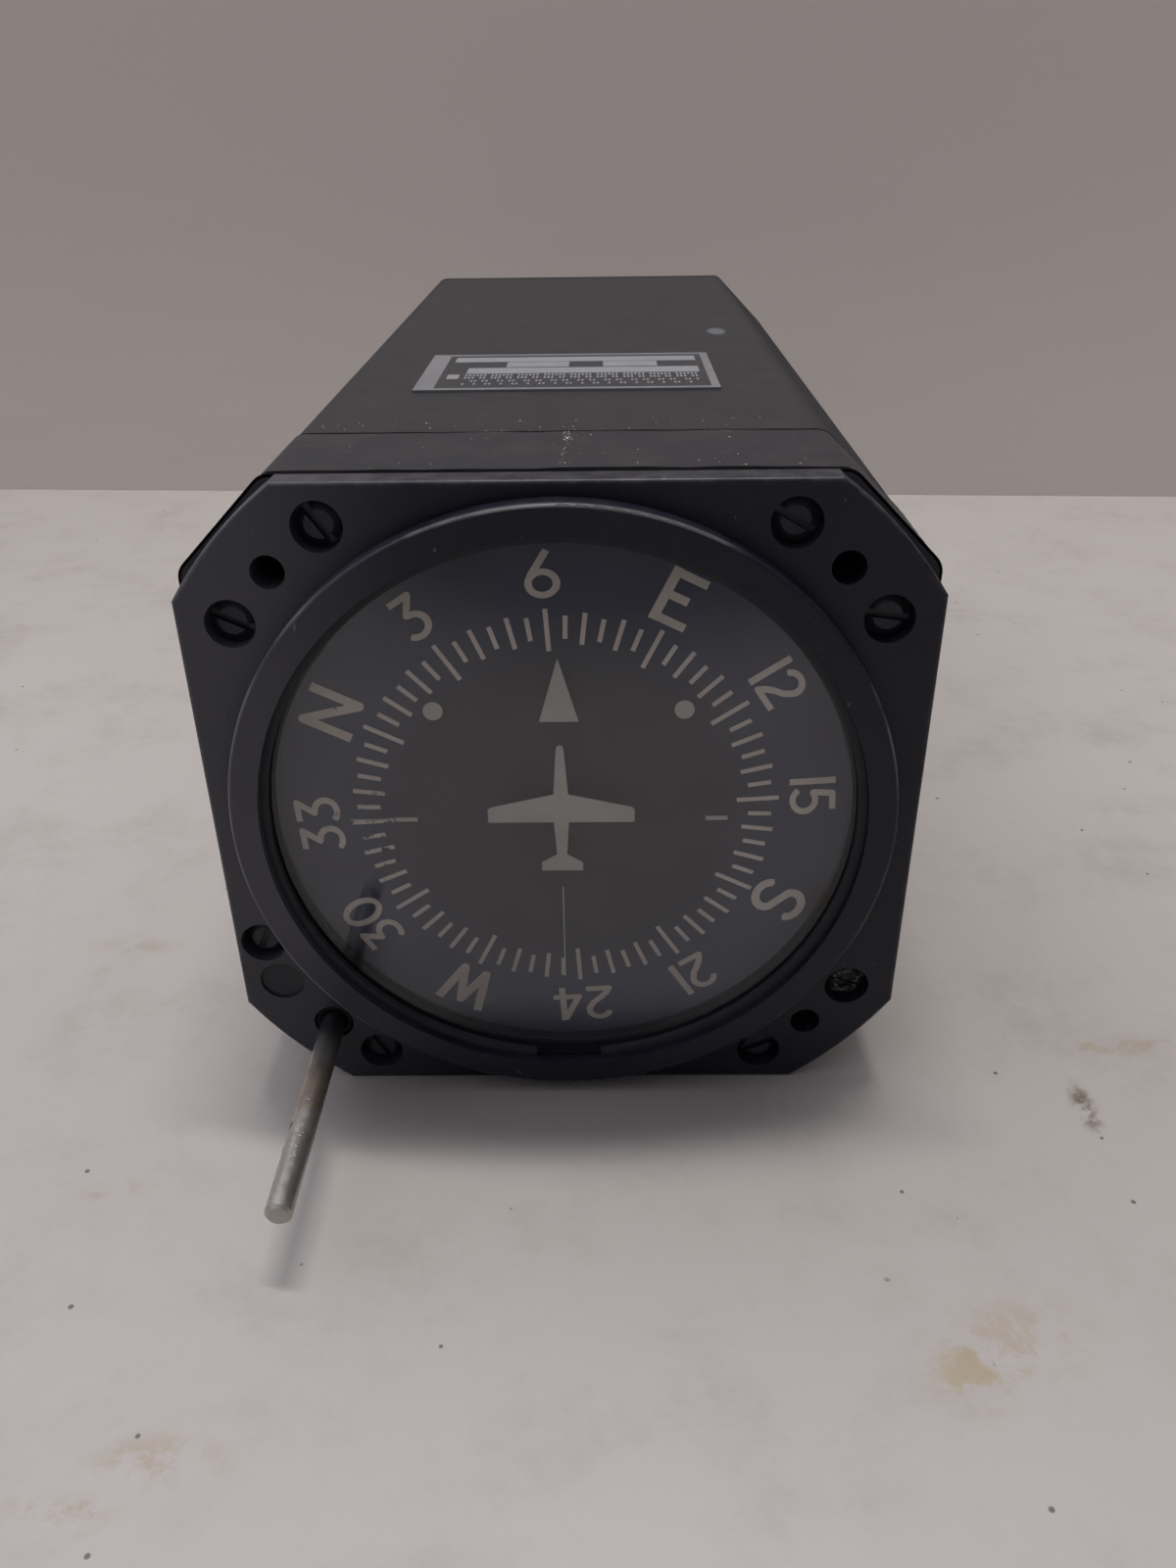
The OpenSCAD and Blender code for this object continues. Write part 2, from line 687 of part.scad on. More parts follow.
// Outline of the plate that carries the card's bearings and the setting gears
module bridge_outline() {
    band_half = bridge_screw_z + side_lug_half;
    window_x0 = card_bearing_r + 10;
    window_w = bridge_half_w - 8.4 - window_x0;
    corner = in_d * sqrt(2) - 0.85;
    low = in_h / 2 - 3.6;
    difference() {
        union() {
            circle(r = card_bearing_r + 8.5);
            square([2 * bridge_half_w, 2 * band_half], center = true);
            polygon([[-bridge_half_w, -10], [-bridge_half_w, bridge_half_w - corner], [low - corner, -low],
                [idler_at[0] - 3, -low], [idler_at[0] + 7, idler_at[1] + 1.4], [-10, -10]]);
        }
        for (s = [-1, 1]) translate([s * (window_x0 + window_w / 2), 2])
            square([window_w, 2 * band_half - 12], center = true);
    }
}

module bearing_bridge() {
    color("#9a9da0") difference() {
        union() {
            slab_y(bridge_y0, bridge_y1) bridge_outline();
            bar_y(tube_y0, tube_y1, card_bearing_r + 2.5);
        }
        bar_y(tube_y0 - 1, tube_y1 + 1, card_bearing_r - 1.5);
        bar_y(tube_y0 - 1, tube_y0 + card_bearing_l, card_bearing_r + press_gap);
        bar_y(tube_y1 - card_bearing_l, tube_y1 + 1, card_bearing_r + press_gap);
        bar_y(bridge_y0 - 1, bridge_y1 + 1, inner_bore_r, shaft_at[0], shaft_at[1]);
        bar_y(bridge_y0 - 1, bridge_y1 + 1, post_r + press_gap, idler_at[0], idler_at[1]);
        for (x = [-1, 1], z = [-1, 1])
            bar_y(bridge_y0 - 1, bridge_y1 + 1, small_screw_r + fit_gap,
                x * bridge_screw_x, z * bridge_screw_z);
    }
}

// Screws of the bridge, from the front, and of the gyro frame, from the rear
module mount_screws() {
    color("#a8a8a4") {
        for (x = [-1, 1], z = [-1, 1])
            slotted_screw(x * bridge_screw_x, z * bridge_screw_z, bridge_y0 - 1.4, 1.4, 2.2, small_screw_r,
                bridge_y1 + bridge_screw_l, 20 * x + 30 * z);
        for (a = all_corners) mirror([0, 1, 0])
            slotted_screw(bolt_circle_r * cos(a), bolt_circle_r * sin(a), -bulkhead_y1 - 1.4, 1.4, 2.2,
                small_screw_r, -bulkhead_y0 + frame_screw_l, a + 10);
    }
}

module card_bearings() {
    color("#b4b6b8") {
        bearing_y(tube_y0, tube_y0 + card_bearing_l, card_bearing_r, card_shaft_r + run_gap);
        bearing_y(tube_y1 - card_bearing_l, tube_y1, card_bearing_r, card_shaft_r + run_gap);
    }
}

// Shouldered posts that the idler and the caging lever turn on
module pivot_posts() {
    color("#b0b2b4") {
        bar_y(bridge_y0, setting_y1 + 0.9, post_r, idler_at[0], idler_at[1]);
        bar_y(bridge_y1, setting_y0 - 0.6, 2.6, idler_at[0], idler_at[1]);
        bar_y(setting_y1 + 0.6, setting_y1 + 1.3, 2.4, idler_at[0], idler_at[1]);
        translate([lever_at[0], lever_at[1], floor_z]) {
            cylinder(h = lever_z0 - floor_z - fit_gap, r = 2.8);
            cylinder(h = lever_z1 - floor_z + 0.1, r = post_r);
            translate([0, 0, lever_z1 - floor_z + fit_gap]) cylinder(h = 0.45, r = 2.2);
        }
    }
}

// One arm of the gyro frame with its bearing boss, drawn as the upper one
module frame_arm() {
    difference() {
        union() {
            block([-arm_half_w, yaw_y, arm_z - arm_t], [arm_half_w, bulkhead_y0 + eps, arm_z]);
            translate([0, yaw_y, boss_z]) cylinder(h = arm_z - boss_z, r = arm_half_w);
            for (x = [-6, 4]) translate([x, 0, 0]) rotate([90, 0, 90]) linear_extrude(height = 2)
                polygon([[bulkhead_y0 - 7, arm_z - arm_t + 0.1], [bulkhead_y0 + eps, arm_z - arm_t + 0.1],
                    [bulkhead_y0 + eps, arm_z - 12]]);
        }
        translate([0, yaw_y, boss_z - 1]) cylinder(h = yaw_bearing_t + 1.2, r = bearing_r + press_gap);
    }
}

// Bulkhead with two arms that carry the gimbal's upright bearings
module gyro_frame() {
    color("#8e9194") difference() {
        union() {
            slab_y(bulkhead_y0, bulkhead_y1)
                case_outline(in_w - 0.4, in_h - 0.4, in_d - 0.2, inner_edge_r);
            frame_arm();
            mirror([0, 0, 1]) frame_arm();
        }
        translate([0, yaw_y, duct_z]) rotate([0, 90, 0]) cylinder(h = duct_x, r = duct_r + press_gap);
        bar_y(bulkhead_y0 - 1, bulkhead_y1 + 1, duct_r + press_gap, duct_x, duct_z);
        bar_y(bulkhead_y0 - 1, bulkhead_y1 + 1, pipe_r + press_gap, port_at[0], port_at[1]);
        bar_y(bulkhead_y0 - 1, bulkhead_y1 + 1, stud_r + press_gap);
        for (a = all_corners) bar_y(bulkhead_y0 - 1, bulkhead_y1 + 1, small_screw_r + fit_gap,
            bolt_circle_r * cos(a), bolt_circle_r * sin(a));
    }
}

module yaw_bearings() {
    color("#b4b6b8") for (s = [0, 1]) mirror([0, 0, s]) translate([0, yaw_y, 0]) rotate([90, 0, 0])
        bearing_y(boss_z + 0.2, boss_z + 0.2 + yaw_bearing_t, bearing_r, pivot_bore_r);
}

// Path of the air pipe: along Y, round an elbow and across into the lower gimbal bearing
module duct_path(r, extra) {
    bar_y(yaw_y + elbow_r, bulkhead_y1 + extra, r, duct_x, duct_z);
    translate([duct_x - elbow_r, yaw_y + elbow_r, duct_z]) rotate(-90)
        rotate_extrude(angle = 90) translate([elbow_r, 0]) circle(r = r);
    translate([duct_x - elbow_r - duct_stub - extra, yaw_y, duct_z]) rotate([0, 90, 0])
        cylinder(h = duct_stub + extra, r = r);
}

// Air pipe from the bulkhead to the lower gimbal bearing
module air_duct() {
    color("#b08d57") difference() {
        duct_path(duct_r, 0);
        duct_path(duct_r - 0.5, 1);
    }
}

// Foot of the air filter, with the channel that leads its air to the pipe
module air_manifold() {
    reach = norm([duct_x, duct_z]);
    aim = atan2(duct_z, duct_x);
    color("#77797b") difference() {
        slab_y(bulkhead_y1, filter_y0) union() {
            circle(r = filter_r + 1);
            rotate(aim) translate([0, -3.2]) square([reach + 1.2, 6.4]);
        }
        slab_y(bulkhead_y1 - 1, bulkhead_y1 + manifold_t - 1.2) difference() {
            union() {
                circle(r = 13);
                rotate(aim) translate([0, -1.6]) square([reach + 0.4, 3.2]);
            }
            circle(r = 2 * stud_r);
        }
        for (a = [aim, aim + 60, aim - 60])
            bar_y(bulkhead_y1 - 1, filter_y0 + 1, 2.2, 10 * cos(a), 10 * sin(a));
        bar_y(bulkhead_y1 - 1, filter_y0 + 1, stud_r + press_gap);
    }
}

// Folded paper filter between its foot and its cap
module air_filter() {
    color("#d8cfb4") slab_y(filter_y0, filter_y1) difference() {
        polygon([for (i = [0:pleats - 1], k = [[0, filter_r], [0.5, filter_r - pleat_depth]])
            k[1] * [cos(360 * (i + k[0]) / pleats), sin(360 * (i + k[0]) / pleats)]]);
        flat_circle(48, filter_r - pleat_depth - 5);
    }
}

module filter_cap() {
    color("#808284") difference() {
        union() {
            bar_y(filter_y1, filter_y1 + 1.5, filter_r + 1);
            bar_y(filter_y1 + 1, filter_y1 + 3, 9);
        }
        bar_y(filter_y1 - 1, filter_y1 + 4, stud_r + press_gap);
    }
}

// Stud through the filter, with its nut
module filter_stud() {
    color("#a8a8a4") {
        bar_y(bulkhead_y0, filter_y1 + 8, stud_r);
        difference() {
            translate([0, filter_y1 + 6.2, 0]) rotate([90, 0, 0]) cylinder(h = 3.2, r = 4.3, $fn = 6);
            bar_y(filter_y1 + 2, filter_y1 + 7, stud_r + press_gap);
        }
    }
}

// Pipe that joins the gyro's chamber to the suction port
module suction_pipe() {
    color("#b08d57") ring_y(bulkhead_y0, port_y0 + 3, pipe_r, pipe_r - 0.8, port_at[0], port_at[1]);
}

module rear_cover() {
    color("#3a3a3c") difference() {
        union() {
            slab_y(cover_y0, cover_y1 - 1)
                case_outline(case_w, case_h, case_d, case_edge_r);
            slab_y(cover_y0 + 1, cover_y1)
                case_outline(case_w - 2, case_h - 2, case_d - 1, case_edge_r - 0.7);
            bar_y(cover_y0, cover_y1 + 0.8, port_neck_r + 3.5, port_at[0], port_at[1]);
            bar_y(cover_y0, cover_y1 + 0.6, screen_r + 2.5);
            slab_y(cover_y0 - 3, cover_y0 + eps) difference() {
                case_outline(in_w - 0.3, in_h - 0.3, in_d - 0.15, inner_edge_r);
                case_outline(in_w - 4, in_h - 4, in_d - 2, inner_edge_r);
                for (a = all_corners) translate(bolt_circle_r * [cos(a), sin(a)]) circle(r = lug_r + 0.2);
            }
        }
        bar_y(case_rear - 4, cover_y1 + 2, screen_r - 2);
        bar_y(cover_y1 - 1.4, cover_y1 + 2, screen_r + press_gap);
        bar_y(case_rear - 4, cover_y1 + 2, port_neck_r + press_gap, port_at[0], port_at[1]);
        for (a = all_corners) {
            bar_y(case_rear - 4, cover_y1 + 1, small_screw_r + fit_gap,
                bolt_circle_r * cos(a), bolt_circle_r * sin(a));
            bar_y(cover_y1 - 1.8, cover_y1 + 1, 2.6, bolt_circle_r * cos(a), bolt_circle_r * sin(a));
        }
    }
}

module rear_screws() {
    color("#2a2b2e") for (a = all_corners) mirror([0, 1, 0])
        slotted_screw(bolt_circle_r * cos(a), bolt_circle_r * sin(a), -cover_y1 + 0.3, 1.5, 2.4,
            small_screw_r, -case_rear + rear_screw_l, a - 30);
}

// Hexagonal fitting with the suction hose's thread hole
module suction_port() {
    color("#8c8d8a") difference() {
        union() {
            bar_y(port_y0, cover_y1 + 1, port_neck_r, port_at[0], port_at[1]);
            translate([port_at[0], cover_y1 + 0.8 + hex_l, port_at[1]]) rotate([90, 0, 0])
                cylinder(h = hex_l, r = port_r + 4.4, $fn = 6);
            bar_y(cover_y1 + hex_l, port_y1, port_r + 2.2, port_at[0], port_at[1]);
        }
        bar_y(port_y1 - port_l, port_y1 + 1, port_r, port_at[0], port_at[1]);
        bar_y(port_y0 - 1, port_y1, pipe_r - 0.8, port_at[0], port_at[1]);
        bar_y(port_y0 - 1, port_y0 + 3, pipe_r + press_gap, port_at[0], port_at[1]);
    }
}

// Round screen over the air inlet, held in its seat in the rear cover
module inlet_screen() {
    color("#6c6e70") difference() {
        bar_y(cover_y1 - 1.4, cover_y1 - 0.2, screen_r);
        for (ring = [1:screen_rings], i = [0:6 * ring - 1])
            bar_y(cover_y1 - 3, cover_y1 + 1, screen_hole_r,
                ring * screen_pitch * cos(60 * i / ring), ring * screen_pitch * sin(60 * i / ring));
        bar_y(cover_y1 - 3, cover_y1 + 1, screen_hole_r);
    }
}

// Wire coil swept round the setting shaft
module return_spring() {
    y0 = collar_y0 + collar_l + spring_wire_r + 0.02;
    y1 = bridge_y0 - spring_wire_r - 0.02;
    sides = 8;
    steps = 16 * spring_turns;
    rings = [for (j = [0:steps])
        let (a = 360 * j / 16, y = y0 + (y1 - y0) * j / steps)
        [for (k = [0:sides - 1])
            let (b = 360 * k / sides, rr = spring_r + spring_wire_r * cos(b))
            [rr * cos(a), y + spring_wire_r * sin(b), rr * sin(a)]]];
    points = [for (ring = rings, p = ring) p];
    walls = [for (j = [0:steps - 1], k = [0:sides - 1], half = [0, 1])
        let (a = j * sides + k, b = j * sides + (k + 1) % sides)
        half == 0 ? [a, a + sides, b + sides] : [a, b + sides, b]];
    ends = [[for (k = [0:sides - 1]) k], [for (k = [sides - 1:-1:0]) steps * sides + k]];
    color("#b8b8b4") translate([shaft_at[0], 0, shaft_at[1]])
        polyhedron(points = points, faces = concat(walls, ends));
}

// Upright gimbal ring with bosses for the tilt bearings, a neck and a foot
module gimbal_ring() {
    color("#a3a6a8") difference() {
        union() {
            bar_y(yaw_y - gimbal_w / 2, yaw_y + gimbal_w / 2, gimbal_r);
            for (s = [0, 1]) mirror([s, 0, 0]) translate([tilt_bearing_x0 - 0.1, yaw_y, 0])
                rotate([0, 90, 0]) cylinder(h = gimbal_r + 0.3 - tilt_bearing_x0, r = 5);
            translate([0, yaw_y, gimbal_in_r + 0.5]) cylinder(h = boss_z - 3 - gimbal_in_r, r = 4.5);
            translate([0, yaw_y, -bevel_r]) cylinder(h = bevel_r - gimbal_in_r - 0.5, r = 8.5);
        }
        bar_y(yaw_y - gimbal_w, yaw_y + gimbal_w, gimbal_in_r);
        for (s = [0, 1]) mirror([s, 0, 0]) translate([tilt_bearing_x0 - 1, yaw_y, 0])
            rotate([0, 90, 0]) cylinder(h = 4, r = tilt_bearing_r + press_gap);
        translate([0, yaw_y, gimbal_in_r + 1]) cylinder(h = 10, r = pivot_r + 0.01);
        translate([0, yaw_y, -bevel_r - 1]) cylinder(h = 2.1, r = pivot_r + 0.01);
    }
}

// Steel pivots pressed into the neck above and the gear's hub below
module gimbal_pivots() {
    color("#c4c6c8") {
        translate([0, yaw_y, gimbal_in_r + 1.05])
            cylinder(h = boss_z + yaw_bearing_t - gimbal_in_r - 1.05, r = pivot_r);
        translate([0, yaw_y, -boss_z - yaw_bearing_t])
            cylinder(h = boss_z + yaw_bearing_t - bevel_r + 1, r = pivot_r);
    }
}

module heading_gear() {
    color("#b0925a") translate([0, yaw_y, -bevel_r]) bevel_rim(180 / bevel_teeth);
}

// Web of the heading gear, with the drum that the caging lever rests against
module heading_gear_hub() {
    color("#b9a06c") {
        translate([0, yaw_y, -bevel_r]) bevel_web(pivot_r + 0.01);
        translate([0, yaw_y, -bevel_r - web_t - drum_t]) difference() {
            cylinder(h = drum_t + eps, r = drum_r);
            translate([0, 0, -1]) cylinder(h = drum_t + 2, r = pivot_r + 0.01);
        }
    }
}

// Six small screws through a web into its toothed rim, heads below height -web_t
module rim_screws() {
    for (a = [0:60:300]) rotate(a) translate([gear_screw_ring, 0, 0]) {
        translate([0, 0, -web_t - 0.5]) cylinder(h = 0.5, r = 1.6);
        translate([0, 0, -web_t - eps]) cylinder(h = web_t + 3.5 + eps, r = gear_screw_r);
    }
}

module heading_gear_screws() {
    color("#b0b2b4") translate([0, yaw_y, -bevel_r]) rim_screws();
}

module tilt_bearings() {
    color("#b4b6b8") for (s = [0, 1]) mirror([s, 0, 0]) translate([0, yaw_y, 0]) rotate([0, 0, -90])
        bearing_y(tilt_bearing_x0, tilt_bearing_x1, tilt_bearing_r, pivot_bore_r);
}

// Drum round the rotor, with air windows and bosses for the tilt pivots
module rotor_housing() {
    color("#a8abad") difference() {
        union() {
            bar_y(yaw_y - housing_half, yaw_y + housing_half, housing_r);
            for (s = [0, 1]) mirror([s, 0, 0]) translate([housing_r - 1, yaw_y, 0])
                rotate([0, 90, 0]) cylinder(h = 3.2, r = 4);
        }
        bar_y(yaw_y - housing_half - 1, yaw_y + housing_half + 1, housing_in_r);
        for (s = [0, 1]) mirror([s, 0, 0]) translate([housing_in_r - 1, yaw_y, 0])
            rotate([0, 90, 0]) cylinder(h = 10, r = pivot_r + 0.01);
        for (a = window_angles) translate([0, yaw_y, 0]) rotate([0, -a, 0]) rotate([0, 90, 0])
            cylinder(h = housing_r + 1, r = 4);
        for (a = jet_angles) translate([0, yaw_y, 0]) rotate([0, -a, 0]) rotate([0, 90, 0])
            cylinder(h = housing_r + 2, r = jet_r + press_gap);
        for (e = [-1, 1], a = [30:60:330])
            bar_y(yaw_y + e * housing_half - 4, yaw_y + e * housing_half + 4, cap_screw_r + press_gap,
                cap_screw_ring * cos(a), cap_screw_ring * sin(a));
    }
}

module tilt_pivots() {
    color("#c4c6c8") for (s = [0, 1]) mirror([s, 0, 0]) translate([housing_in_r + 0.4, yaw_y, 0])
        rotate([0, 90, 0]) cylinder(h = tilt_bearing_x1 - housing_in_r - 0.6, r = pivot_r);
}

module rotor_bearings() {
    color("#b4b6b8") for (s = [-1, 1])
        bearing_y(yaw_y + s * (housing_half + 1.8) - 1.6, yaw_y + s * (housing_half + 1.8) + 1.6,
            tilt_bearing_r, pivot_bore_r);
}

// End caps of the rotor housing, with bearing seats and air holes
module housing_caps() {
    color("#a8abad") for (s = [0, 1]) translate([0, yaw_y, 0]) mirror([0, s, 0]) difference() {
        union() {
            bar_y(housing_half, housing_half + cap_t, housing_r);
            bar_y(housing_half, housing_half + 4.2, 5);
        }
        bar_y(housing_half - 1, housing_half + 3.42, tilt_bearing_r + press_gap);
        for (a = [0:60:300]) bar_y(housing_half - 1, housing_half + cap_t + 1, 3.2, 12 * cos(a), 12 * sin(a));
        for (a = [30:60:330]) bar_y(housing_half - 1, housing_half + cap_t + 1, cap_screw_r + press_gap,
            cap_screw_ring * cos(a), cap_screw_ring * sin(a));
    }
}

module cap_screws() {
    color("#b0b2b4") for (s = [0, 1], a = [30:60:330]) translate([0, yaw_y, 0]) mirror([0, s, 0]) {
        bar_y(housing_half - 3.5, housing_half + cap_t + eps, cap_screw_r,
            cap_screw_ring * cos(a), cap_screw_ring * sin(a));
        bar_y(housing_half + cap_t, housing_half + cap_t + 0.6, 1.1,
            cap_screw_ring * cos(a), cap_screw_ring * sin(a));
    }
}

// Air jets that blow on the rotor's buckets
module air_jets() {
    color("#c2a25e") for (a = jet_angles) translate([0, yaw_y, 0]) rotate([0, -a, 0])
        translate([rotor_r + 0.5, 0, 0]) rotate([0, 90, 0]) difference() {
            cylinder(h = 4.4, r = jet_r);
            translate([0, 0, -1]) cylinder(h = 7, r = 0.5);
        }
}

// Heavy rotor with a thin web and air buckets milled round its rim
module rotor_wheel() {
    half = rotor_w / 2;
    color("#a98f52") difference() {
        turned_y() translate([0, yaw_y]) polygon([[rotor_bore_r, -half], [5.5, -half], [5.5, -3],
            [11, -3], [12, -half], [rotor_r, -half], [rotor_r, half], [12, half], [11, 3], [5.5, 3],
            [5.5, half], [rotor_bore_r, half]]);
        for (i = [0:buckets - 1]) bar_y(yaw_y - 4, yaw_y + 4, 1.5,
            (rotor_r + 0.3) * cos(360 * i / buckets), (rotor_r + 0.3) * sin(360 * i / buckets));
    }
}

module rotor_shaft() {
    color("#c4c6c8") {
        bar_y(yaw_y - housing_half - 3.2, yaw_y + housing_half + 3.2, pivot_r);
        bar_y(yaw_y - rotor_w / 2 - 2, yaw_y + rotor_w / 2 + 2, rotor_bore_r - 0.02);
    }
}

module card_disc() {
    color("#33363b") bar_y(card_y0, card_y1, card_r);
}

// Radial line every 5 degrees, longer every 10 and longest every 30
module card_graduations() {
    color("#8f8374") slab_y(card_y0 - ink_t, card_y0) for (h = [0:5:355])
        let (line = h % 30 == 0 ? long_line : h % 10 == 0 ? medium_line : short_line)
            rotate(90 - h + card_heading) translate([card_r - line[0] - line[1] / 2, 0])
                square([line[1], tick_w], center = true);
}

module card_hub() {
    color("#9a9da0") {
        ring_y(card_y1, card_y1 + 1.6, 12, card_shaft_r + 0.01);
        ring_y(card_y1 + 1.6 - eps, card_y1 + 8, 5.5, card_shaft_r + 0.01);
    }
}

module card_shaft() {
    color("#c4c6c8") {
        bar_y(card_y1 + 0.1, bevel_y - 0.2, card_shaft_r);
        bar_y(tube_y0 + card_bearing_l + 0.1, tube_y1 - card_bearing_l - 0.1, card_shaft_r + 1);
    }
}

module card_gear() {
    color("#b0925a") translate([0, bevel_y, 0]) rotate([-90, 0, 0]) bevel_rim(0);
}

// Web of the card's bevel gear, with the boss that carries the setting wheel
module card_gear_hub() {
    color("#b9a06c") {
        translate([0, bevel_y, 0]) rotate([-90, 0, 0]) bevel_web(card_shaft_r + 0.01);
        ring_y(setting_y0, card_disc_y + eps, 9, card_shaft_r + 0.01);
        ring_y(setting_y1, card_disc_y + eps, 12, card_shaft_r + 0.01);
    }
}

module card_gear_screws() {
    color("#b0b2b4") translate([0, bevel_y, 0]) rotate([-90, 0, 0]) rim_screws();
}

// Toothed wheel on the card's hub that the setting gears turn
module setting_wheel() {
    color("#c2a25e") slab_y(setting_y0, setting_y1) difference() {
        spur_outline(card_wheel_teeth, 0, 9.1);
        for (a = [0:60:300]) rotate(a) translate([16, 0]) flat_circle(16, 4.6);
    }
}

module idler_gear() {
    color("#c2a25e") translate([idler_at[0], 0, idler_at[1]]) slab_y(setting_y0, setting_y1)
        spur_outline(idler_teeth, idler_turn, idler_bush_r + 0.06);
}

module idler_bush() {
    color("#8a7440") ring_y(setting_y0 - 0.5, setting_y1 + 0.5, idler_bush_r, post_r + run_gap,
        idler_at[0], idler_at[1]);
}

// Collar that slides with the setting shaft but doesn't turn, and presses the spring
module caging_collar() {
    color("#9a9da0")
        ring_y(collar_y0, collar_y0 + collar_l, collar_r, inner_bore_r, shaft_at[0], shaft_at[1]);
}

// Bare steel setting shaft, turned down behind the flange
module setting_shaft() {
    color("#a59f96") {
        bar_y(shaft_step_y - eps, shaft_rear, inner_shaft_r, shaft_at[0], shaft_at[1]);
        turned_y(shaft_at[0], shaft_at[1]) polygon([[0, -shaft_out], [shaft_r - 0.35, -shaft_out],
            [shaft_r, -shaft_out + 0.35], [shaft_r, shaft_step_y], [0, shaft_step_y]]);
    }
}

module setting_pinion() {
    color("#b8b8b4") translate([shaft_at[0], 0, shaft_at[1]])
        slab_y(bridge_y1 + 1.5, bridge_y1 + setting_gear_t + 1)
            spur_outline(pinion_teeth, pinion_turn, inner_shaft_r + 0.03);
}

// Clips on the shaft on both sides of the collar
module shaft_clips() {
    color("#8c8d8a") for (y = [collar_y0 - 0.1 - clip_t, collar_y0 + collar_l + 0.1])
        ring_y(y, y + clip_t, clip_r, inner_shaft_r + 0.01, shaft_at[0], shaft_at[1]);
}

// One arm of the caging lever, along Z from 0 up to its thickness
module lever_arm(tip, r) {
    linear_extrude(height = lever_t) {
        translate(tip) circle(r = r);
        rotate(atan2(tip[1], tip[0])) translate([0, -r]) square([norm(tip), 2 * r]);
    }
}

// Lever on its post: upper arm with a pin behind the shaft's end, lower arm with a pad beside the drum
module caging_lever() {
    color("#8e9194") translate([lever_at[0], lever_at[1], lever_z0]) difference() {
        union() {
            cylinder(h = lever_z1 - lever_z0, r = 3.2);
            lever_arm(lever_pad, 1.6);
            translate([0, 0, lever_z1 - lever_z0 - lever_t]) lever_arm(lever_pin, lever_pin_r);
            translate([lever_pad[0], lever_pad[1], 0])
                cylinder(h = -bevel_r - web_t - 0.8 - lever_z0, r = lever_pad_r);
            translate([lever_pin[0], lever_pin[1], lever_z1 - lever_z0 - eps])
                cylinder(h = shaft_at[1] + shaft_r + 0.3 - lever_z1, r = lever_pin_r);
        }
        translate([0, 0, -1]) cylinder(h = lever_z1 - lever_z0 + 2, r = post_r + run_gap);
    }
}

front_bezel();
glass_snap_ring();
cover_glass();
glass_gasket();
index_marks();
flange_screws();
worn_screw();
blind_plug();
case_gaskets();
case_body();
seam_tape();
data_plate();
shaft_bush();
shaft_seal();
bearing_bridge();
mount_screws();
card_bearings();
pivot_posts();
gyro_frame();
yaw_bearings();
air_duct();
air_manifold();
air_filter();
filter_cap();
filter_stud();
suction_pipe();
rear_cover();
rear_screws();
suction_port();
inlet_screen();
return_spring();
gimbal_ring();
gimbal_pivots();
heading_gear();
heading_gear_hub();
heading_gear_screws();
tilt_bearings();
rotor_housing();
tilt_pivots();
rotor_bearings();
housing_caps();
cap_screws();
air_jets();
rotor_wheel();
rotor_shaft();
card_disc();
card_graduations();
card_hub();
card_shaft();
card_gear();
card_gear_hub();
card_gear_screws();
setting_wheel();
idler_gear();
idler_bush();
caging_collar();
setting_shaft();
setting_pinion();
shaft_clips();
caging_lever();
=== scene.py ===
# %% [markdown]
# # A directional gyro on a pale table
#
# This lesson dresses the solids of an aircraft instrument. The solids stay as they are. What this script
# adds is what a drawing leaves out: paint that is rubbed, ink on the compass card, tape, dust and light.

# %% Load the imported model
import math
import random

import bmesh
import bpy
from mathutils import Matrix, Vector, geometry, noise


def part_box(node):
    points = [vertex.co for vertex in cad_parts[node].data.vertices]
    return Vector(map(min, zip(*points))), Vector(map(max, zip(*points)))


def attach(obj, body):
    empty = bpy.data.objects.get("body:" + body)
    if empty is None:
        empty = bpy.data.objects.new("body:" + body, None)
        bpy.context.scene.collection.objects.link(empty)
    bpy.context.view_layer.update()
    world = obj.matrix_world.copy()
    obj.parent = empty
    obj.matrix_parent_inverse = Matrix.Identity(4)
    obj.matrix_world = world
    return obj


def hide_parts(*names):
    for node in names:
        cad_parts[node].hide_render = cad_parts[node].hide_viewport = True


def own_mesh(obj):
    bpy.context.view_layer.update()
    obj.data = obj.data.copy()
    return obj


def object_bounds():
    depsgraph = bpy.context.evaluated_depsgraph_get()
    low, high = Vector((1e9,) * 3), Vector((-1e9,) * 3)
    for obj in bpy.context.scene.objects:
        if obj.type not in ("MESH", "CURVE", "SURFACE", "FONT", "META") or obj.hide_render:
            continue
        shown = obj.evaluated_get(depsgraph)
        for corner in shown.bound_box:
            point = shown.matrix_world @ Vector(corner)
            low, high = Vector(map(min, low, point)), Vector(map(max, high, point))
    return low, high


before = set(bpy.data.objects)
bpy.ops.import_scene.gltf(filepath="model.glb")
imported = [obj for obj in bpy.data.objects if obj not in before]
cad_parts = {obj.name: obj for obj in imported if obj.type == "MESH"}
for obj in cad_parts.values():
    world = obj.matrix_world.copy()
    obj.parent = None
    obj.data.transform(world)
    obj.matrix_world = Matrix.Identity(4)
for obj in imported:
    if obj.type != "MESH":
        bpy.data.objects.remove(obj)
cad_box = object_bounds()
MM = 0.001

# %% [markdown]
# ## Objects from plain lists
#
# Most pieces here are flat prints or thin skins. Three helpers turn points and faces into objects, and a
# piece says at once which body of the instrument it moves with.

# %% Objects and meshes
def add_object(name, data):
    """An object in the scene for a mesh, a lamp or a camera."""
    thing = bpy.data.objects.new(name, data)
    bpy.context.scene.collection.objects.link(thing)
    return thing


def object_from(name, built, material):
    """An object with one finish, from a mesh in the making."""
    mesh = bpy.data.meshes.new(name)
    built.to_mesh(mesh)
    built.free()
    mesh.materials.append(material)
    return add_object(name, mesh)


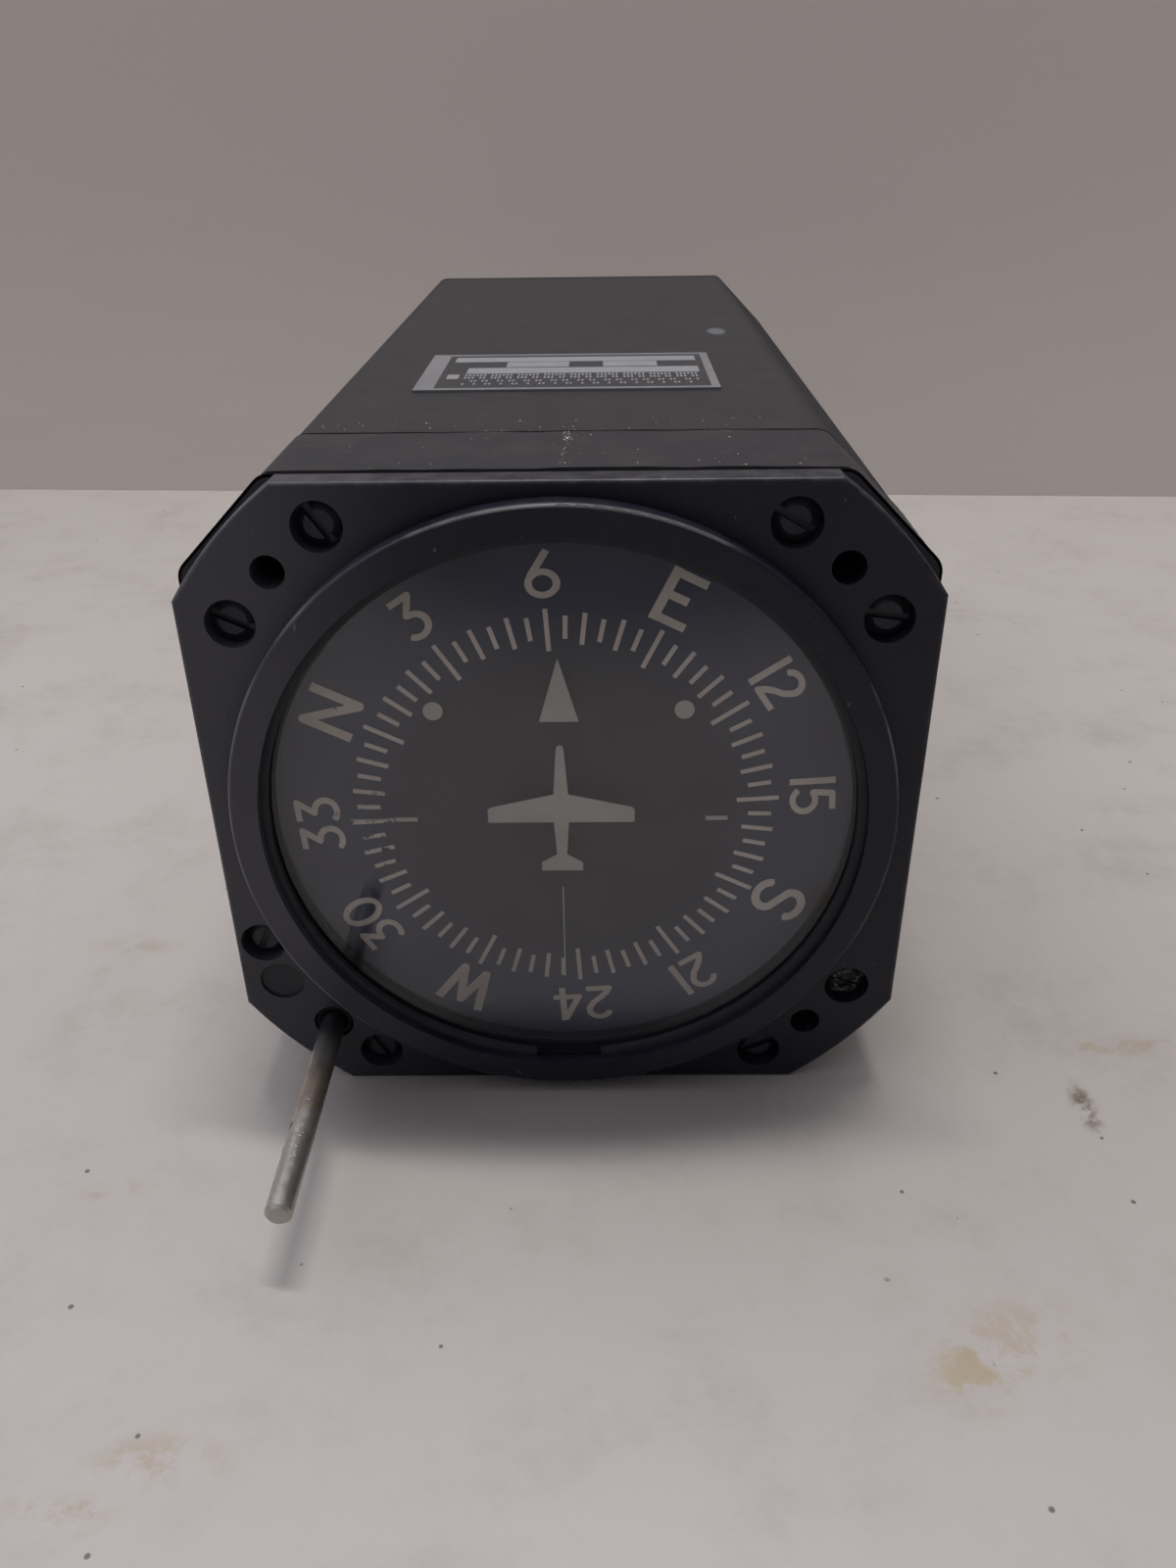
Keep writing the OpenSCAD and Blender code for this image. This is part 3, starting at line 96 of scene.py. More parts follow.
def piece(name, points, faces, body, material, smooth=False):
    """An object from plain lists of points and faces, which rides on a body if one is named."""
    mesh = bpy.data.meshes.new(name)
    mesh.from_pydata([tuple(p) for p in points], [], faces)
    mesh.validate()
    mesh.update()
    for face in mesh.polygons:
        face.use_smooth = smooth
    mesh.materials.append(material)
    thing = add_object(name, mesh)
    if body:
        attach(thing, body)
    return thing


# %% [markdown]
# ## Camera
#
# The photograph was taken by hand from a little above, with a wide lens. Its place was found by fitting a
# pinhole camera to the four screw places and the edges of the flange. A camera's rotation can be typed as
# three angles, but building it from its own right, up and view directions shows what each angle does.

# %% Camera of the photograph
def camera_axes(yaw, pitch, roll):
    """Right, up and view direction of a camera that looks along +Y when all three angles are zero."""
    view = Vector((math.sin(yaw) * math.cos(pitch), math.cos(yaw) * math.cos(pitch), -math.sin(pitch)))
    level = Vector((math.cos(yaw), -math.sin(yaw), 0))
    upright = level.cross(view)
    right = math.cos(roll) * level + math.sin(roll) * upright
    up = -math.sin(roll) * level + math.cos(roll) * upright
    return right, up, view


CAMERA_PLACE = Vector((4.906, -124.173, 74.818)) * MM
FOCAL_PIXELS, PHOTO_PIXELS, SENSOR = 1225.713, 1600, 36
right, up, view = camera_axes(yaw=-0.015447, pitch=0.512548, roll=-0.013558)
camera_data = bpy.data.cameras.new("photograph_view")
camera_data.sensor_width = SENSOR
camera_data.lens = FOCAL_PIXELS / PHOTO_PIXELS * SENSOR
camera_data.clip_start = 0.01
camera = add_object("photograph_view", camera_data)
camera.matrix_world = Matrix.Translation(CAMERA_PLACE) @ Matrix((right, up, -view)).transposed().to_4x4()
bpy.context.scene.camera = camera
print("lens", round(camera_data.lens, 2), "mm")

# %% [markdown]
# ## Node groups for effects that many finishes share
#
# Real surfaces are never one flat colour. Five small groups give grain, patches of tone, scratches, dust and
# a band along the flange's edge. Each is built once, and each finish places it with its own scale. The groups
# put out colours, masks or heights only, and the shader itself stays in the material.

# %% Tools for building groups and finishes
def new_group(name, inputs, outputs):
    """An empty node group with typed sockets, and its input and output nodes."""
    tree = bpy.data.node_groups.new(name, "ShaderNodeTree")
    for label, kind, value in inputs:
        socket = tree.interface.new_socket(label, in_out="INPUT", socket_type=kind)
        socket.default_value = value
    for label, kind in outputs:
        tree.interface.new_socket(label, in_out="OUTPUT", socket_type=kind)
    return tree, tree.nodes.new("NodeGroupInput"), tree.nodes.new("NodeGroupOutput")


def add_node(tree, kind, settings=None, **inputs):
    """A node with its settings and input values. An input is a value or another node's output."""
    node = tree.nodes.new(kind)
    for key, value in (settings or {}).items():
        setattr(node, key, value)
    for key, value in inputs.items():
        socket = node.inputs[int(key[1:])] if key[0] == "i" and key[1:].isdigit() else node.inputs[
            key.replace("_", " ")]
        if isinstance(value, bpy.types.NodeSocket):
            tree.links.new(value, socket)
        else:
            socket.default_value = value
    return node


def calc(tree, operation, a, b=0.0, clamp=False):
    return add_node(tree, "ShaderNodeMath", {"operation": operation, "use_clamp": clamp},
                    i0=a, i1=b).outputs[0]


def times(tree, product, *factors):
    """Product of two or more values."""
    for factor in factors:
        product = calc(tree, "MULTIPLY", product, factor)
    return product


def ramp(tree, value, low, high, out_low=0.0, out_high=1.0):
    """Smooth step of a value from low to high."""
    return add_node(tree, "ShaderNodeMapRange", {"interpolation_type": "SMOOTHSTEP"}, Value=value,
                    From_Min=low, From_Max=high, To_Min=out_low, To_Max=out_high).outputs[0]


def object_place(tree):
    return add_node(tree, "ShaderNodeTexCoord").outputs["Object"]


def axes(tree):
    """X, Y and Z of a place on the object, in metres."""
    return add_node(tree, "ShaderNodeSeparateXYZ", i0=object_place(tree)).outputs


def gap_from(tree, place, centre, sizes=(1.0, 1.0, 1.0)):
    """Distance from a centre that is given along some axes, where each axis may have its own unit."""
    total = 0.0
    for (axis, middle), size in zip(centre.items(), sizes):
        gap = calc(tree, "DIVIDE", calc(tree, "SUBTRACT", place[axis], middle), size)
        total = calc(tree, "ADD", calc(tree, "POWER", gap, 2.0), total)
    return calc(tree, "SQRT", total)


def noise_at(tree, scale, detail, roughness=0.5, vector=None):
    """Noise in the object's own coordinates, or along another vector."""
    if vector is None:
        vector = object_place(tree)
    return add_node(tree, "ShaderNodeTexNoise", Vector=vector, Scale=scale, Detail=detail,
                    Roughness=roughness).outputs[0]


# %% Fine grain: the orange peel of sprayed paint or the skin of a casting
grain, given, result = new_group(
    "fine_grain", [("Scale", "NodeSocketFloat", 2500.0), ("Coarse", "NodeSocketFloat", 0.4)],
    [("Height", "NodeSocketFloat")])
fine = noise_at(grain, given.outputs["Scale"], 3.0)
wide = noise_at(grain, times(grain, given.outputs["Scale"], 0.22), 1.0)
mixed = add_node(grain, "ShaderNodeMix", {"data_type": "FLOAT"}, i0=given.outputs["Coarse"], i2=fine, i3=wide)
grain.links.new(mixed.outputs[0], result.inputs["Height"])
print("group", grain.name)

# %% Patchy tone: two colours that drift into each other
patches, given, result = new_group(
    "patchy_tone", [("Scale", "NodeSocketFloat", 60.0), ("Base", "NodeSocketColor", (0.1, 0.1, 0.1, 1)),
                    ("Patch", "NodeSocketColor", (0.2, 0.2, 0.2, 1)), ("Share", "NodeSocketFloat", 0.5)],
    [("Colour", "NodeSocketColor"), ("Mask", "NodeSocketFloat")])
edge = calc(patches, "SUBTRACT", 1.0, given.outputs["Share"])
share = ramp(patches, noise_at(patches, given.outputs["Scale"], 5.0, 0.62),
             calc(patches, "SUBTRACT", edge, 0.16), calc(patches, "ADD", edge, 0.16))
blend = add_node(patches, "ShaderNodeMix", {"data_type": "RGBA"}, i0=share,
                 i6=given.outputs["Base"], i7=given.outputs["Patch"])
patches.links.new(blend.outputs[2], result.inputs["Colour"])
patches.links.new(share, result.inputs["Mask"])
print("group", patches.name)

# %% Scratches: thin lines from a noise that is stretched along one direction
scratches, given, result = new_group(
    "thin_scratches", [("Stretch", "NodeSocketVector", (1.0, 1.0, 0.05)), ("Scale", "NodeSocketFloat", 900.0),
                       ("Amount", "NodeSocketFloat", 0.3)], [("Mask", "NodeSocketFloat")])
pulled = add_node(scratches, "ShaderNodeVectorMath", {"operation": "MULTIPLY"},
                  i0=object_place(scratches), i1=given.outputs["Stretch"]).outputs[0]
cut = calc(scratches, "SUBTRACT", 0.80, times(scratches, given.outputs["Amount"], 0.2))
lines = ramp(scratches, noise_at(scratches, given.outputs["Scale"], 2.0, vector=pulled),
             cut, calc(scratches, "ADD", cut, 0.05))
places = ramp(scratches, noise_at(scratches, 140.0, 2.0), 0.48, 0.62)
scratches.links.new(times(scratches, lines, places), result.inputs["Mask"])
print("group", scratches.name)

# %% Dust: lies on faces that look up, in soft patches with a few specks
dust, given, result = new_group(
    "settled_dust", [("Amount", "NodeSocketFloat", 0.3), ("Speck Scale", "NodeSocketFloat", 900.0)],
    [("Mask", "NodeSocketFloat")])
facing = add_node(dust, "ShaderNodeSeparateXYZ", i0=add_node(dust, "ShaderNodeNewGeometry").outputs["Normal"])
upward = ramp(dust, facing.outputs["Z"], 0.2, 0.95)
film = ramp(dust, noise_at(dust, 170.0, 6.0, 0.7), 0.42, 0.75)
cells = add_node(dust, "ShaderNodeTexVoronoi", Vector=object_place(dust), Scale=given.outputs["Speck Scale"])
specks = times(dust, ramp(dust, cells.outputs["Distance"], 0.16, 0.09),
               ramp(dust, noise_at(dust, 420.0, 1.0), 0.60, 0.64))
both = calc(dust, "ADD", times(dust, film, 0.45), specks, clamp=True)
dust.links.new(times(dust, both, upward, given.outputs["Amount"]), result.inputs["Mask"])
print("group", dust.name)

# %% Outline bands: a mask along the edges of the rectangular flange
rim_band, given, result = new_group(
    "flange_edge", [("Half Width", "NodeSocketFloat", 0.04258), ("Half Height", "NodeSocketFloat", 0.0412),
                    ("Corner", "NodeSocketFloat", 0.051), ("Band", "NodeSocketFloat", 0.001)],
    [("Mask", "NodeSocketFloat")])
place = axes(rim_band)
side = calc(rim_band, "SUBTRACT", given.outputs["Half Width"], calc(rim_band, "ABSOLUTE", place["X"]))
top = calc(rim_band, "SUBTRACT", given.outputs["Half Height"], calc(rim_band, "ABSOLUTE", place["Z"]))
corner = calc(rim_band, "SUBTRACT", given.outputs["Corner"], gap_from(rim_band, place, {"X": 0.0, "Z": 0.0}))
nearest = calc(rim_band, "MINIMUM", calc(rim_band, "MINIMUM", side, top), corner)
rim_band.links.new(ramp(rim_band, nearest, given.outputs["Band"], 0.0), result.inputs["Mask"])
print("group", rim_band.name)

# %% [markdown]
# ## Finishes
#
# Each finish is one material with one Principled shader. Values that are the same all over the surface sit
# on the shader's own sockets. Only what changes over the surface comes in through a link.

# %% Start of every finish, and the steps that finishes share
def new_finish(name, colour, roughness, metallic=0.0, **sockets):
    """A material, its node tree and its shader, with plain values set on the shader."""
    material = bpy.data.materials.new(name)
    material.use_nodes = True
    shader = material.node_tree.nodes["Principled BSDF"]
    shader.inputs["Base Color"].default_value = (*colour, 1)
    shader.inputs["Roughness"].default_value = roughness
    shader.inputs["Metallic"].default_value = metallic
    for key, value in sockets.items():
        shader.inputs[key.replace("_", " ")].default_value = value
    return material, material.node_tree, shader


def connect(tree, shader, **sockets):
    """Link outputs to the shader's sockets."""
    for key, output in sockets.items():
        tree.links.new(output, shader.inputs[key.replace("_", " ")])


def use_group(tree, group, **inputs):
    return add_node(tree, "ShaderNodeGroup", {"node_tree": group}, **inputs).outputs


def patchy(tree, scale, base, patch, share=0.45):
    """Colour and mask of two tones that drift into each other."""
    return use_group(tree, patches, Scale=scale, Base=(*base, 1), Patch=(*patch, 1), Share=share)


def bump_from(tree, shader, height, depth, strength):
    """A height, in units of a depth in metres, as a normal on the shader."""
    bump = add_node(tree, "ShaderNodeBump", Height=height, Distance=depth, Strength=strength)
    connect(tree, shader, Normal=bump.outputs[0])


def grained(tree, shader, scale, coarse, depth, strength):
    bump_from(tree, shader, use_group(tree, grain, Scale=scale, Coarse=coarse)["Height"], depth, strength)


def mix_colour(tree, mask, base, over):
    """A blend of two colours. Each is three numbers or another node's output."""
    base, over = [(*colour, 1) if isinstance(colour, tuple) else colour for colour in (base, over)]
    return add_node(tree, "ShaderNodeMix", {"data_type": "RGBA"}, i0=mask, i6=base, i7=over).outputs[2]


def dusted(tree, colour, amount, speck_scale, tint):
    film = use_group(tree, dust, Amount=amount, Speck_Scale=speck_scale)
    return mix_colour(tree, film["Mask"], colour, tint)


def let_through(tree, shader, mask, colour=(1, 1, 1)):
    """Rays pass straight through where the mask is one."""
    clear = add_node(tree, "ShaderNodeBsdfTransparent", Color=(*colour, 1))
    either = add_node(tree, "ShaderNodeMixShader", i0=mask, i1=shader.outputs[0], i2=clear.outputs[0])
    tree.links.new(either.outputs[0], tree.nodes["Material Output"].inputs["Surface"])


def ray_kind(tree, kind):
    return add_node(tree, "ShaderNodeLightPath").outputs[kind]


# %% [markdown]
# ### Black enamel of the front casting
#
# The flange and ring are sprayed satin black with a bluish cast. Handling has rubbed the outer edges, and
# small nicks show the metal. The left side is painted lighter grey as light, and a painted highlight runs in
# patches along the ring's front outer edge. The base colour is almost black, and what the eye sees is mostly
# the pale table mirrored in the satin.

# %% Bezel enamel
RING_RIM = 0.03935
bezel_enamel, tree, shader = new_finish("bezel_enamel", (0.012, 0.0125, 0.015), 0.40, Specular_IOR_Level=0.35)
tone = patchy(tree, 75.0, (0.0056, 0.0056, 0.0125), (0.0080, 0.0079, 0.0155))
band = use_group(tree, rim_band, Band=0.0009)["Mask"]
nicks = use_group(tree, scratches, Stretch=(1.0, 1.0, 0.35), Scale=1500.0, Amount=0.55)["Mask"]
place = axes(tree)
rubbed_and_highlight = times(tree, band, ramp(tree, noise_at(tree, 420.0, 4.0, 0.7), 0.36, 0.72))
from_rim = calc(tree, "SUBTRACT", gap_from(tree, place, {"X": 0.0, "Z": 0.0}), RING_RIM)
# Painted highlight: a lighter line in patches along the ring's front outer edge, added to the rubbed edges.
ring_edge_highlight = ramp(tree, calc(tree, "ABSOLUTE", from_rim), 0.00022, 0.00010)
ring_front = ramp(tree, place["Y"], -0.0020, -0.0026)
highlight_patches = ramp(tree, noise_at(tree, 60.0, 3.0), 0.46, 0.60)
rubbed_and_highlight = calc(tree, "MAXIMUM", rubbed_and_highlight, times(tree, ring_edge_highlight, ring_front, highlight_patches, 3.0))
wear_and_highlight = calc(tree, "MAXIMUM", times(tree, rubbed_and_highlight, 0.30), times(tree, nicks, 0.70))
# Painted light: the left side is lighter grey, less so towards the bottom.
painted_left_light = times(tree, ramp(tree, place["X"], -0.012, -0.038), ramp(tree, place["Z"], -0.024, -0.012, 0.55, 1.0), 0.8)
colour = mix_colour(tree, painted_left_light, tone["Colour"], (0.068, 0.066, 0.074))
colour = mix_colour(tree, wear_and_highlight, colour, (0.13, 0.125, 0.12))
colour = dusted(tree, colour, 0.10, 1100.0, (0.30, 0.28, 0.25))
connect(tree, shader, Base_Color=colour, Roughness=ramp(tree, tone["Mask"], 0.0, 1.0, 0.38, 0.52))
grained(tree, shader, 1800.0, 0.5, 0.00004, 0.5)
print("finish", bezel_enamel.name)

# %% [markdown]
# ### Enamel of the case
#
# The case behind the tape is the same black, but older and rubbed to grey. The long edges are painted
# darker, as shade, and a little browner. A single white paint spot lies on the top, right of the middle.

# %% Case enamel
case_enamel, tree, shader = new_finish("case_enamel", (0.03, 0.029, 0.028), 0.45, Specular_IOR_Level=0.35)
tone = patchy(tree, 30.0, (0.0155, 0.0155, 0.0170), (0.0185, 0.0180, 0.0187), 0.5)
place = axes(tree)
slant = ramp(tree, calc(tree, "ABSOLUTE", place["X"]), 0.0300, 0.0345)
# Painted shade: the long edges are darker, and a little browner.
colour = mix_colour(tree, times(tree, slant, 0.8), tone["Colour"], (0.011, 0.0100, 0.0097))
nicks = use_group(tree, scratches, Stretch=(1.0, 0.12, 1.0), Scale=700.0, Amount=0.35)["Mask"]
colour = mix_colour(tree, times(tree, nicks, 0.25), colour, (0.12, 0.115, 0.11))
colour = dusted(tree, colour, 0.07, 650.0, (0.32, 0.29, 0.25))
paint_spot = ramp(tree, gap_from(tree, place, {"X": 0.0248, "Y": 0.0963}, (1.0, 1 / 0.45)), 0.0019, 0.0011)
on_top = ramp(tree, place["Z"], 0.03, 0.035)
colour = mix_colour(tree, times(tree, paint_spot, on_top, 0.35), colour, (0.30, 0.32, 0.34))
satin = ramp(tree, tone["Mask"], 0.0, 1.0, 0.45, 0.49)
connect(tree, shader, Base_Color=colour, Roughness=calc(tree, "ADD", satin, times(tree, slant, 0.35)))
grained(tree, shader, 900.0, 0.6, 0.00005, 0.5)
print("finish", case_enamel.name)

# %% [markdown]
# ### Metals
#
# Screws are blackened steel. Inside, bright steel, brass, bronze and cast aluminium differ in colour and in
# how sharp their grain is, so one builder makes them all with its own numbers for each.

# %% Machined and cast metals
def metal_finish(name, colour, patch, roughness, grain_scale, depth, metallic=1.0):
    material, tree, shader = new_finish(name, colour, roughness, metallic)
    tone = patchy(tree, 160.0, colour, patch)
    uneven = ramp(tree, tone["Mask"], 0.0, 1.0, roughness - 0.05, roughness + 0.10)
    connect(tree, shader, Base_Color=tone["Colour"], Roughness=uneven)
    grained(tree, shader, grain_scale, 0.3, depth, 0.6)
    return material


black_steel = metal_finish("blackened_steel", (0.006, 0.006, 0.011), (0.011, 0.011, 0.016), 0.52, 1600,
                           0.00003, 0.05)
bare_steel = metal_finish("bare_steel", (0.42, 0.41, 0.39), (0.34, 0.33, 0.31), 0.32, 2200, 0.00002)
bearing_steel = metal_finish("bearing_steel", (0.60, 0.61, 0.62), (0.52, 0.53, 0.54), 0.16, 3000, 0.00001)
cast_aluminium = metal_finish("cast_aluminium", (0.52, 0.53, 0.54), (0.44, 0.45, 0.46), 0.44, 1200, 0.00006)
brass = metal_finish("gear_brass", (0.60, 0.44, 0.20), (0.50, 0.36, 0.17), 0.30, 2400, 0.00002)
bronze = metal_finish("bush_bronze", (0.36, 0.24, 0.11), (0.28, 0.19, 0.10), 0.42, 1800, 0.00003)
print("metals", [m.name for m in (black_steel, bare_steel, bearing_steel, cast_aluminium, brass, bronze)])

# %% The screw with a chewed slot: bright torn metal among black
worn_steel, tree, shader = new_finish("worn_screw_steel", (0.02, 0.02, 0.021), 0.45, 0.4)
torn = patchy(tree, 750.0, (0.007, 0.007, 0.010), (0.45, 0.43, 0.41), 0.34)
connect(tree, shader, Base_Color=torn["Colour"], Roughness=ramp(tree, torn["Mask"], 0.0, 1.0, 0.6, 0.3))
grained(tree, shader, 1500.0, 0.7, 0.00025, 0.9)
print("finish", worn_steel.name)

# %% [markdown]
# ### Bare shaft
#
# The ground shaft stands bare: grey at the tip, stained brown in the middle where a lock screw sat, and
# painted dark as shade by the flange. Position along the shaft drives all three. Three small dark pits lie on
# its left.

# %% Setting shaft
shaft_steel, tree, shader = new_finish("shaft_steel", (0.40, 0.38, 0.35), 0.34, 0.9)
place = axes(tree)
stains = noise_at(tree, 330.0, 5.0, 0.65)
mottle = ramp(tree, stains, 0.42, 0.66)
along = calc(tree, "ADD", place["Y"], times(tree, stains, 0.004))
middle = times(tree, ramp(tree, along, -0.0165, -0.0140), ramp(tree, along, -0.0050, -0.0085))
colour = mix_colour(tree, times(tree, mottle, 0.4), (0.46, 0.43, 0.39), (0.38, 0.35, 0.31))
rust = ramp(tree, stains, 0.36, 0.58, 0.45, 0.85)
colour = mix_colour(tree, times(tree, middle, rust), colour, (0.31, 0.235, 0.17))
# Painted shade: the shaft turns dark towards the flange.
shade_near_flange = ramp(tree, place["Y"], -0.0090, -0.0020, 0.0, 0.85)
colour = mix_colour(tree, shade_near_flange, colour, (0.026, 0.028, 0.040))
shaft_low, shaft_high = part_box("setting_shaft")
pit_x, pit_z = shaft_low[0] + 0.0002, (shaft_low[2] + shaft_high[2]) / 2 + 0.0004
for pit_y, radius in ((-0.0196, 0.0010), (-0.0234, 0.0007), (-0.0262, 0.0004)):
    gap = gap_from(tree, place, {"X": pit_x, "Y": pit_y, "Z": pit_z}, (radius,) * 3)
    colour = mix_colour(tree, ramp(tree, gap, 1.1, 0.6, 0.0, 0.9), colour, (0.03, 0.025, 0.022))
connect(tree, shader, Base_Color=colour, Roughness=ramp(tree, mottle, 0.0, 1.0, 0.34, 0.44))
turned = use_group(tree, scratches, Stretch=(0.25, 1.0, 0.25), Scale=2600.0, Amount=0.9)["Mask"]
bump_from(tree, shader, turned, 0.00002, 0.5)
print("finish", shaft_steel.name)

# %% [markdown]
# ### Glass
#
# The cover glass is clear and flat. A ray-traced glass keeps light from the card behind it, because lamps
# are not seen through a refracting shader. Letting shadow rays pass through a transparent shader keeps the
# card lit as through real glass.

# %% Cover glass
clear_glass, tree, shader = new_finish("clear_glass", (0.97, 0.985, 0.985), 0.0, 0.0, IOR=1.5,
                                       Transmission_Weight=1.0)
haze = patchy(tree, 55.0, (0.96, 0.975, 0.98), (0.90, 0.91, 0.91))
connect(tree, shader, Base_Color=haze["Colour"])
let_through(tree, shader, ray_kind(tree, "Is Shadow Ray"), (0.94, 0.95, 0.95))
print("finish", clear_glass.name)

# %% [markdown]
# ### Card paint and its ink
#
# The card is matt blue-black. Its ink was once cream and is now brown, with crumbs missing between the 30
# and the 33 and a brown stain at the W. Towards the bottom the ink is painted darker, as shade. These marks
# belong to the card, so they follow it as it turns.

# %% Card paint
card_paint, tree, shader = new_finish("card_paint", (0.012, 0.013, 0.016), 0.6)
outer = ramp(tree, gap_from(tree, axes(tree), {"X": 0.0, "Z": 0.0}), 0.018, 0.027)
colour = mix_colour(tree, outer, (0.0035, 0.0038, 0.0130), (0.0240, 0.0300, 0.0640))
fog = patchy(tree, 60.0, (0, 0, 0), (1, 1, 1), 0.42)
colour = mix_colour(tree, times(tree, fog["Mask"], 0.25), colour, (0.022, 0.023, 0.029))
connect(tree, shader, Base_Color=colour)
grained(tree, shader, 2500.0, 0.3, 0.000002, 0.2)
print("finish", card_paint.name)

# %% Card ink, with its losses
def ink_finish(name, base, patch, aged_and_shaded):
    material, tree, shader = new_finish(name, base, 0.7)
    colour = patchy(tree, 210.0, base, patch)["Colour"]
    if aged_and_shaded:
        place = axes(tree)
        crumb = noise_at(tree, 900.0, 3.0)
        zone = ramp(tree, gap_from(tree, place, {"X": -0.0225, "Z": -0.0035}), 0.0085, 0.0035)
        lost = times(tree, zone, ramp(tree, crumb, 0.545, 0.625))
        few = ramp(tree, crumb, 0.72, 0.76)
        colour = mix_colour(tree, calc(tree, "MAXIMUM", lost, few), colour, (0.016, 0.015, 0.016))
        stain = gap_from(tree, place, {"X": -0.0105, "Z": -0.0272})
        brown = ramp(tree, stain, 0.0060, 0.0010, 0.0, 0.6)
        flecks = times(tree, ramp(tree, stain, 0.0085, 0.0060), ramp(tree, crumb, 0.63, 0.67), 0.85)
        colour = mix_colour(tree, calc(tree, "MAXIMUM", brown, flecks), colour, (0.060, 0.034, 0.018))
        # Painted shade: the ink is darker towards the bottom of the card.
        lower_shade = ramp(tree, place["Z"], -0.006, -0.026, 0.0, 0.75)
        colour = mix_colour(tree, lower_shade, colour, (0.40, 0.34, 0.28))
    connect(tree, shader, Base_Color=colour)
    grained(tree, shader, 2600.0, 0.5, 0.00003, 0.5)
    return material


card_ink = ink_finish("card_ink", (0.76, 0.66, 0.56), (0.68, 0.58, 0.47), True)
glass_print = ink_finish("glass_print", (0.48, 0.47, 0.39), (0.44, 0.43, 0.36), False)
print("inks", card_ink.name, glass_print.name)

# %% [markdown]
# ### Rubber, paper, tape and the data plate
#
# These are the dull surfaces. The tape is vinyl with a soft sheen and fine wrinkles. The data plate is
# printed aluminium, a little brighter in its middle than along its border.

# %% Dull finishes
def dull_finish(name, base, patch, roughness, grain_scale, depth, dusty=0.0, coarse=0.4, gloss=0.5):
    material, tree, shader = new_finish(name, base, roughness, Specular_IOR_Level=gloss)
    colour = patchy(tree, 120.0, base, patch)["Colour"]
    if dusty:
        colour = dusted(tree, colour, dusty, 750.0, (0.30, 0.26, 0.21))
    connect(tree, shader, Base_Color=colour)
    grained(tree, shader, grain_scale, coarse, depth, 0.6)
    return material


rubber = dull_finish("black_rubber", (0.004, 0.004, 0.006), (0.007, 0.007, 0.009), 0.75, 1500, 0.00003, gloss=0.2)
ring_steel = dull_finish("ring_steel", (0.018, 0.018, 0.022), (0.024, 0.024, 0.027), 0.55, 1600, 0.00003,
                         gloss=0.35)
dusty_rubber = dull_finish("dusty_rubber", (0.024, 0.024, 0.029), (0.032, 0.031, 0.035), 0.75, 1500, 0.00003)
paper = dull_finish("filter_paper", (0.62, 0.56, 0.42), (0.52, 0.45, 0.33), 0.9, 2600, 0.00008)
tape_vinyl = dull_finish("tape_vinyl", (0.0150, 0.0148, 0.0165), (0.0205, 0.0195, 0.0200), 0.50, 500, 0.00009,
                         dusty=0.10, coarse=0.6, gloss=0.35)
plate_metal = dull_finish("plate_metal", (0.275, 0.283, 0.287), (0.244, 0.250, 0.254), 0.35, 1400, 0.00002)
plate_edge = dull_finish("plate_edge", (0.205, 0.201, 0.196), (0.170, 0.168, 0.164), 0.40, 1400, 0.00002)
plate_dark = dull_finish("plate_dark_print", (0.020, 0.020, 0.022), (0.028, 0.028, 0.030), 0.40, 1400, 0.00002)
grimy_bush = dull_finish("grimy_bush", (0.005, 0.005, 0.008), (0.012, 0.010, 0.010), 0.75, 1500, 0.00004,
                         gloss=0.15)
# Near black, for the strips of painted shade along the tape's edges.
edge_shade = dull_finish("painted_edge_shade", (0.003, 0.0028, 0.003), (0.007, 0.006, 0.006), 0.9, 900, 0.00003, gloss=0.03)
crumb_finish = dull_finish("dust_crumbs", (0.74, 0.70, 0.63), (0.46, 0.41, 0.35), 0.9, 2000, 0.00003)
print("dull", [m.name for m in (rubber, ring_steel, dusty_rubber, paper, tape_vinyl, plate_metal, plate_edge,
                                plate_dark, grimy_bush, edge_shade, crumb_finish)])

# %% [markdown]
# ## Dress the solids
#
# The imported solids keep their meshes. Each one gets its finish in its material slots.

# %% One finish for each node
finish_of = {
    bezel_enamel: ["front_bezel"],
    case_enamel: ["case_body", "rear_cover"],
    black_steel: ["flange_screws", "rear_screws"],
    ring_steel: ["glass_snap_ring", "blind_plug"],
    worn_steel: ["worn_screw"],
    clear_glass: ["cover_glass"],
    glass_print: ["index_marks"],
    rubber: ["shaft_seal"],
    dusty_rubber: ["glass_gasket", "case_gaskets"],
    plate_edge: ["data_plate"],
    bronze: ["idler_bush"],
    grimy_bush: ["shaft_bush"],
    cast_aluminium: ["bearing_bridge", "gyro_frame", "air_manifold", "filter_cap", "gimbal_ring",
                     "rotor_housing", "housing_caps", "card_hub", "caging_lever"],
    bare_steel: ["mount_screws", "pivot_posts", "filter_stud", "suction_port", "inlet_screen", "return_spring",
                 "heading_gear_screws", "card_gear_screws", "cap_screws", "caging_collar", "setting_pinion",
                 "shaft_clips"],
    bearing_steel: ["card_bearings", "yaw_bearings", "gimbal_pivots", "tilt_bearings", "tilt_pivots",
                    "rotor_bearings", "rotor_shaft", "card_shaft"],
    brass: ["air_duct", "suction_pipe", "heading_gear", "heading_gear_hub", "air_jets", "rotor_wheel",
            "card_gear", "card_gear_hub", "setting_wheel", "idler_gear"],
    paper: ["air_filter"],
    card_paint: ["card_disc"],
    card_ink: ["card_graduations"],
    shaft_steel: ["setting_shaft"],
    tape_vinyl: ["seam_tape"],
}
for finish, names in finish_of.items():
    for name in names:
        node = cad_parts[name]
        node.data.materials.clear()
        node.data.materials.append(finish)
undressed = set(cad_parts) - {n for names in finish_of.values() for n in names}
print("nodes without a finish:", sorted(undressed))
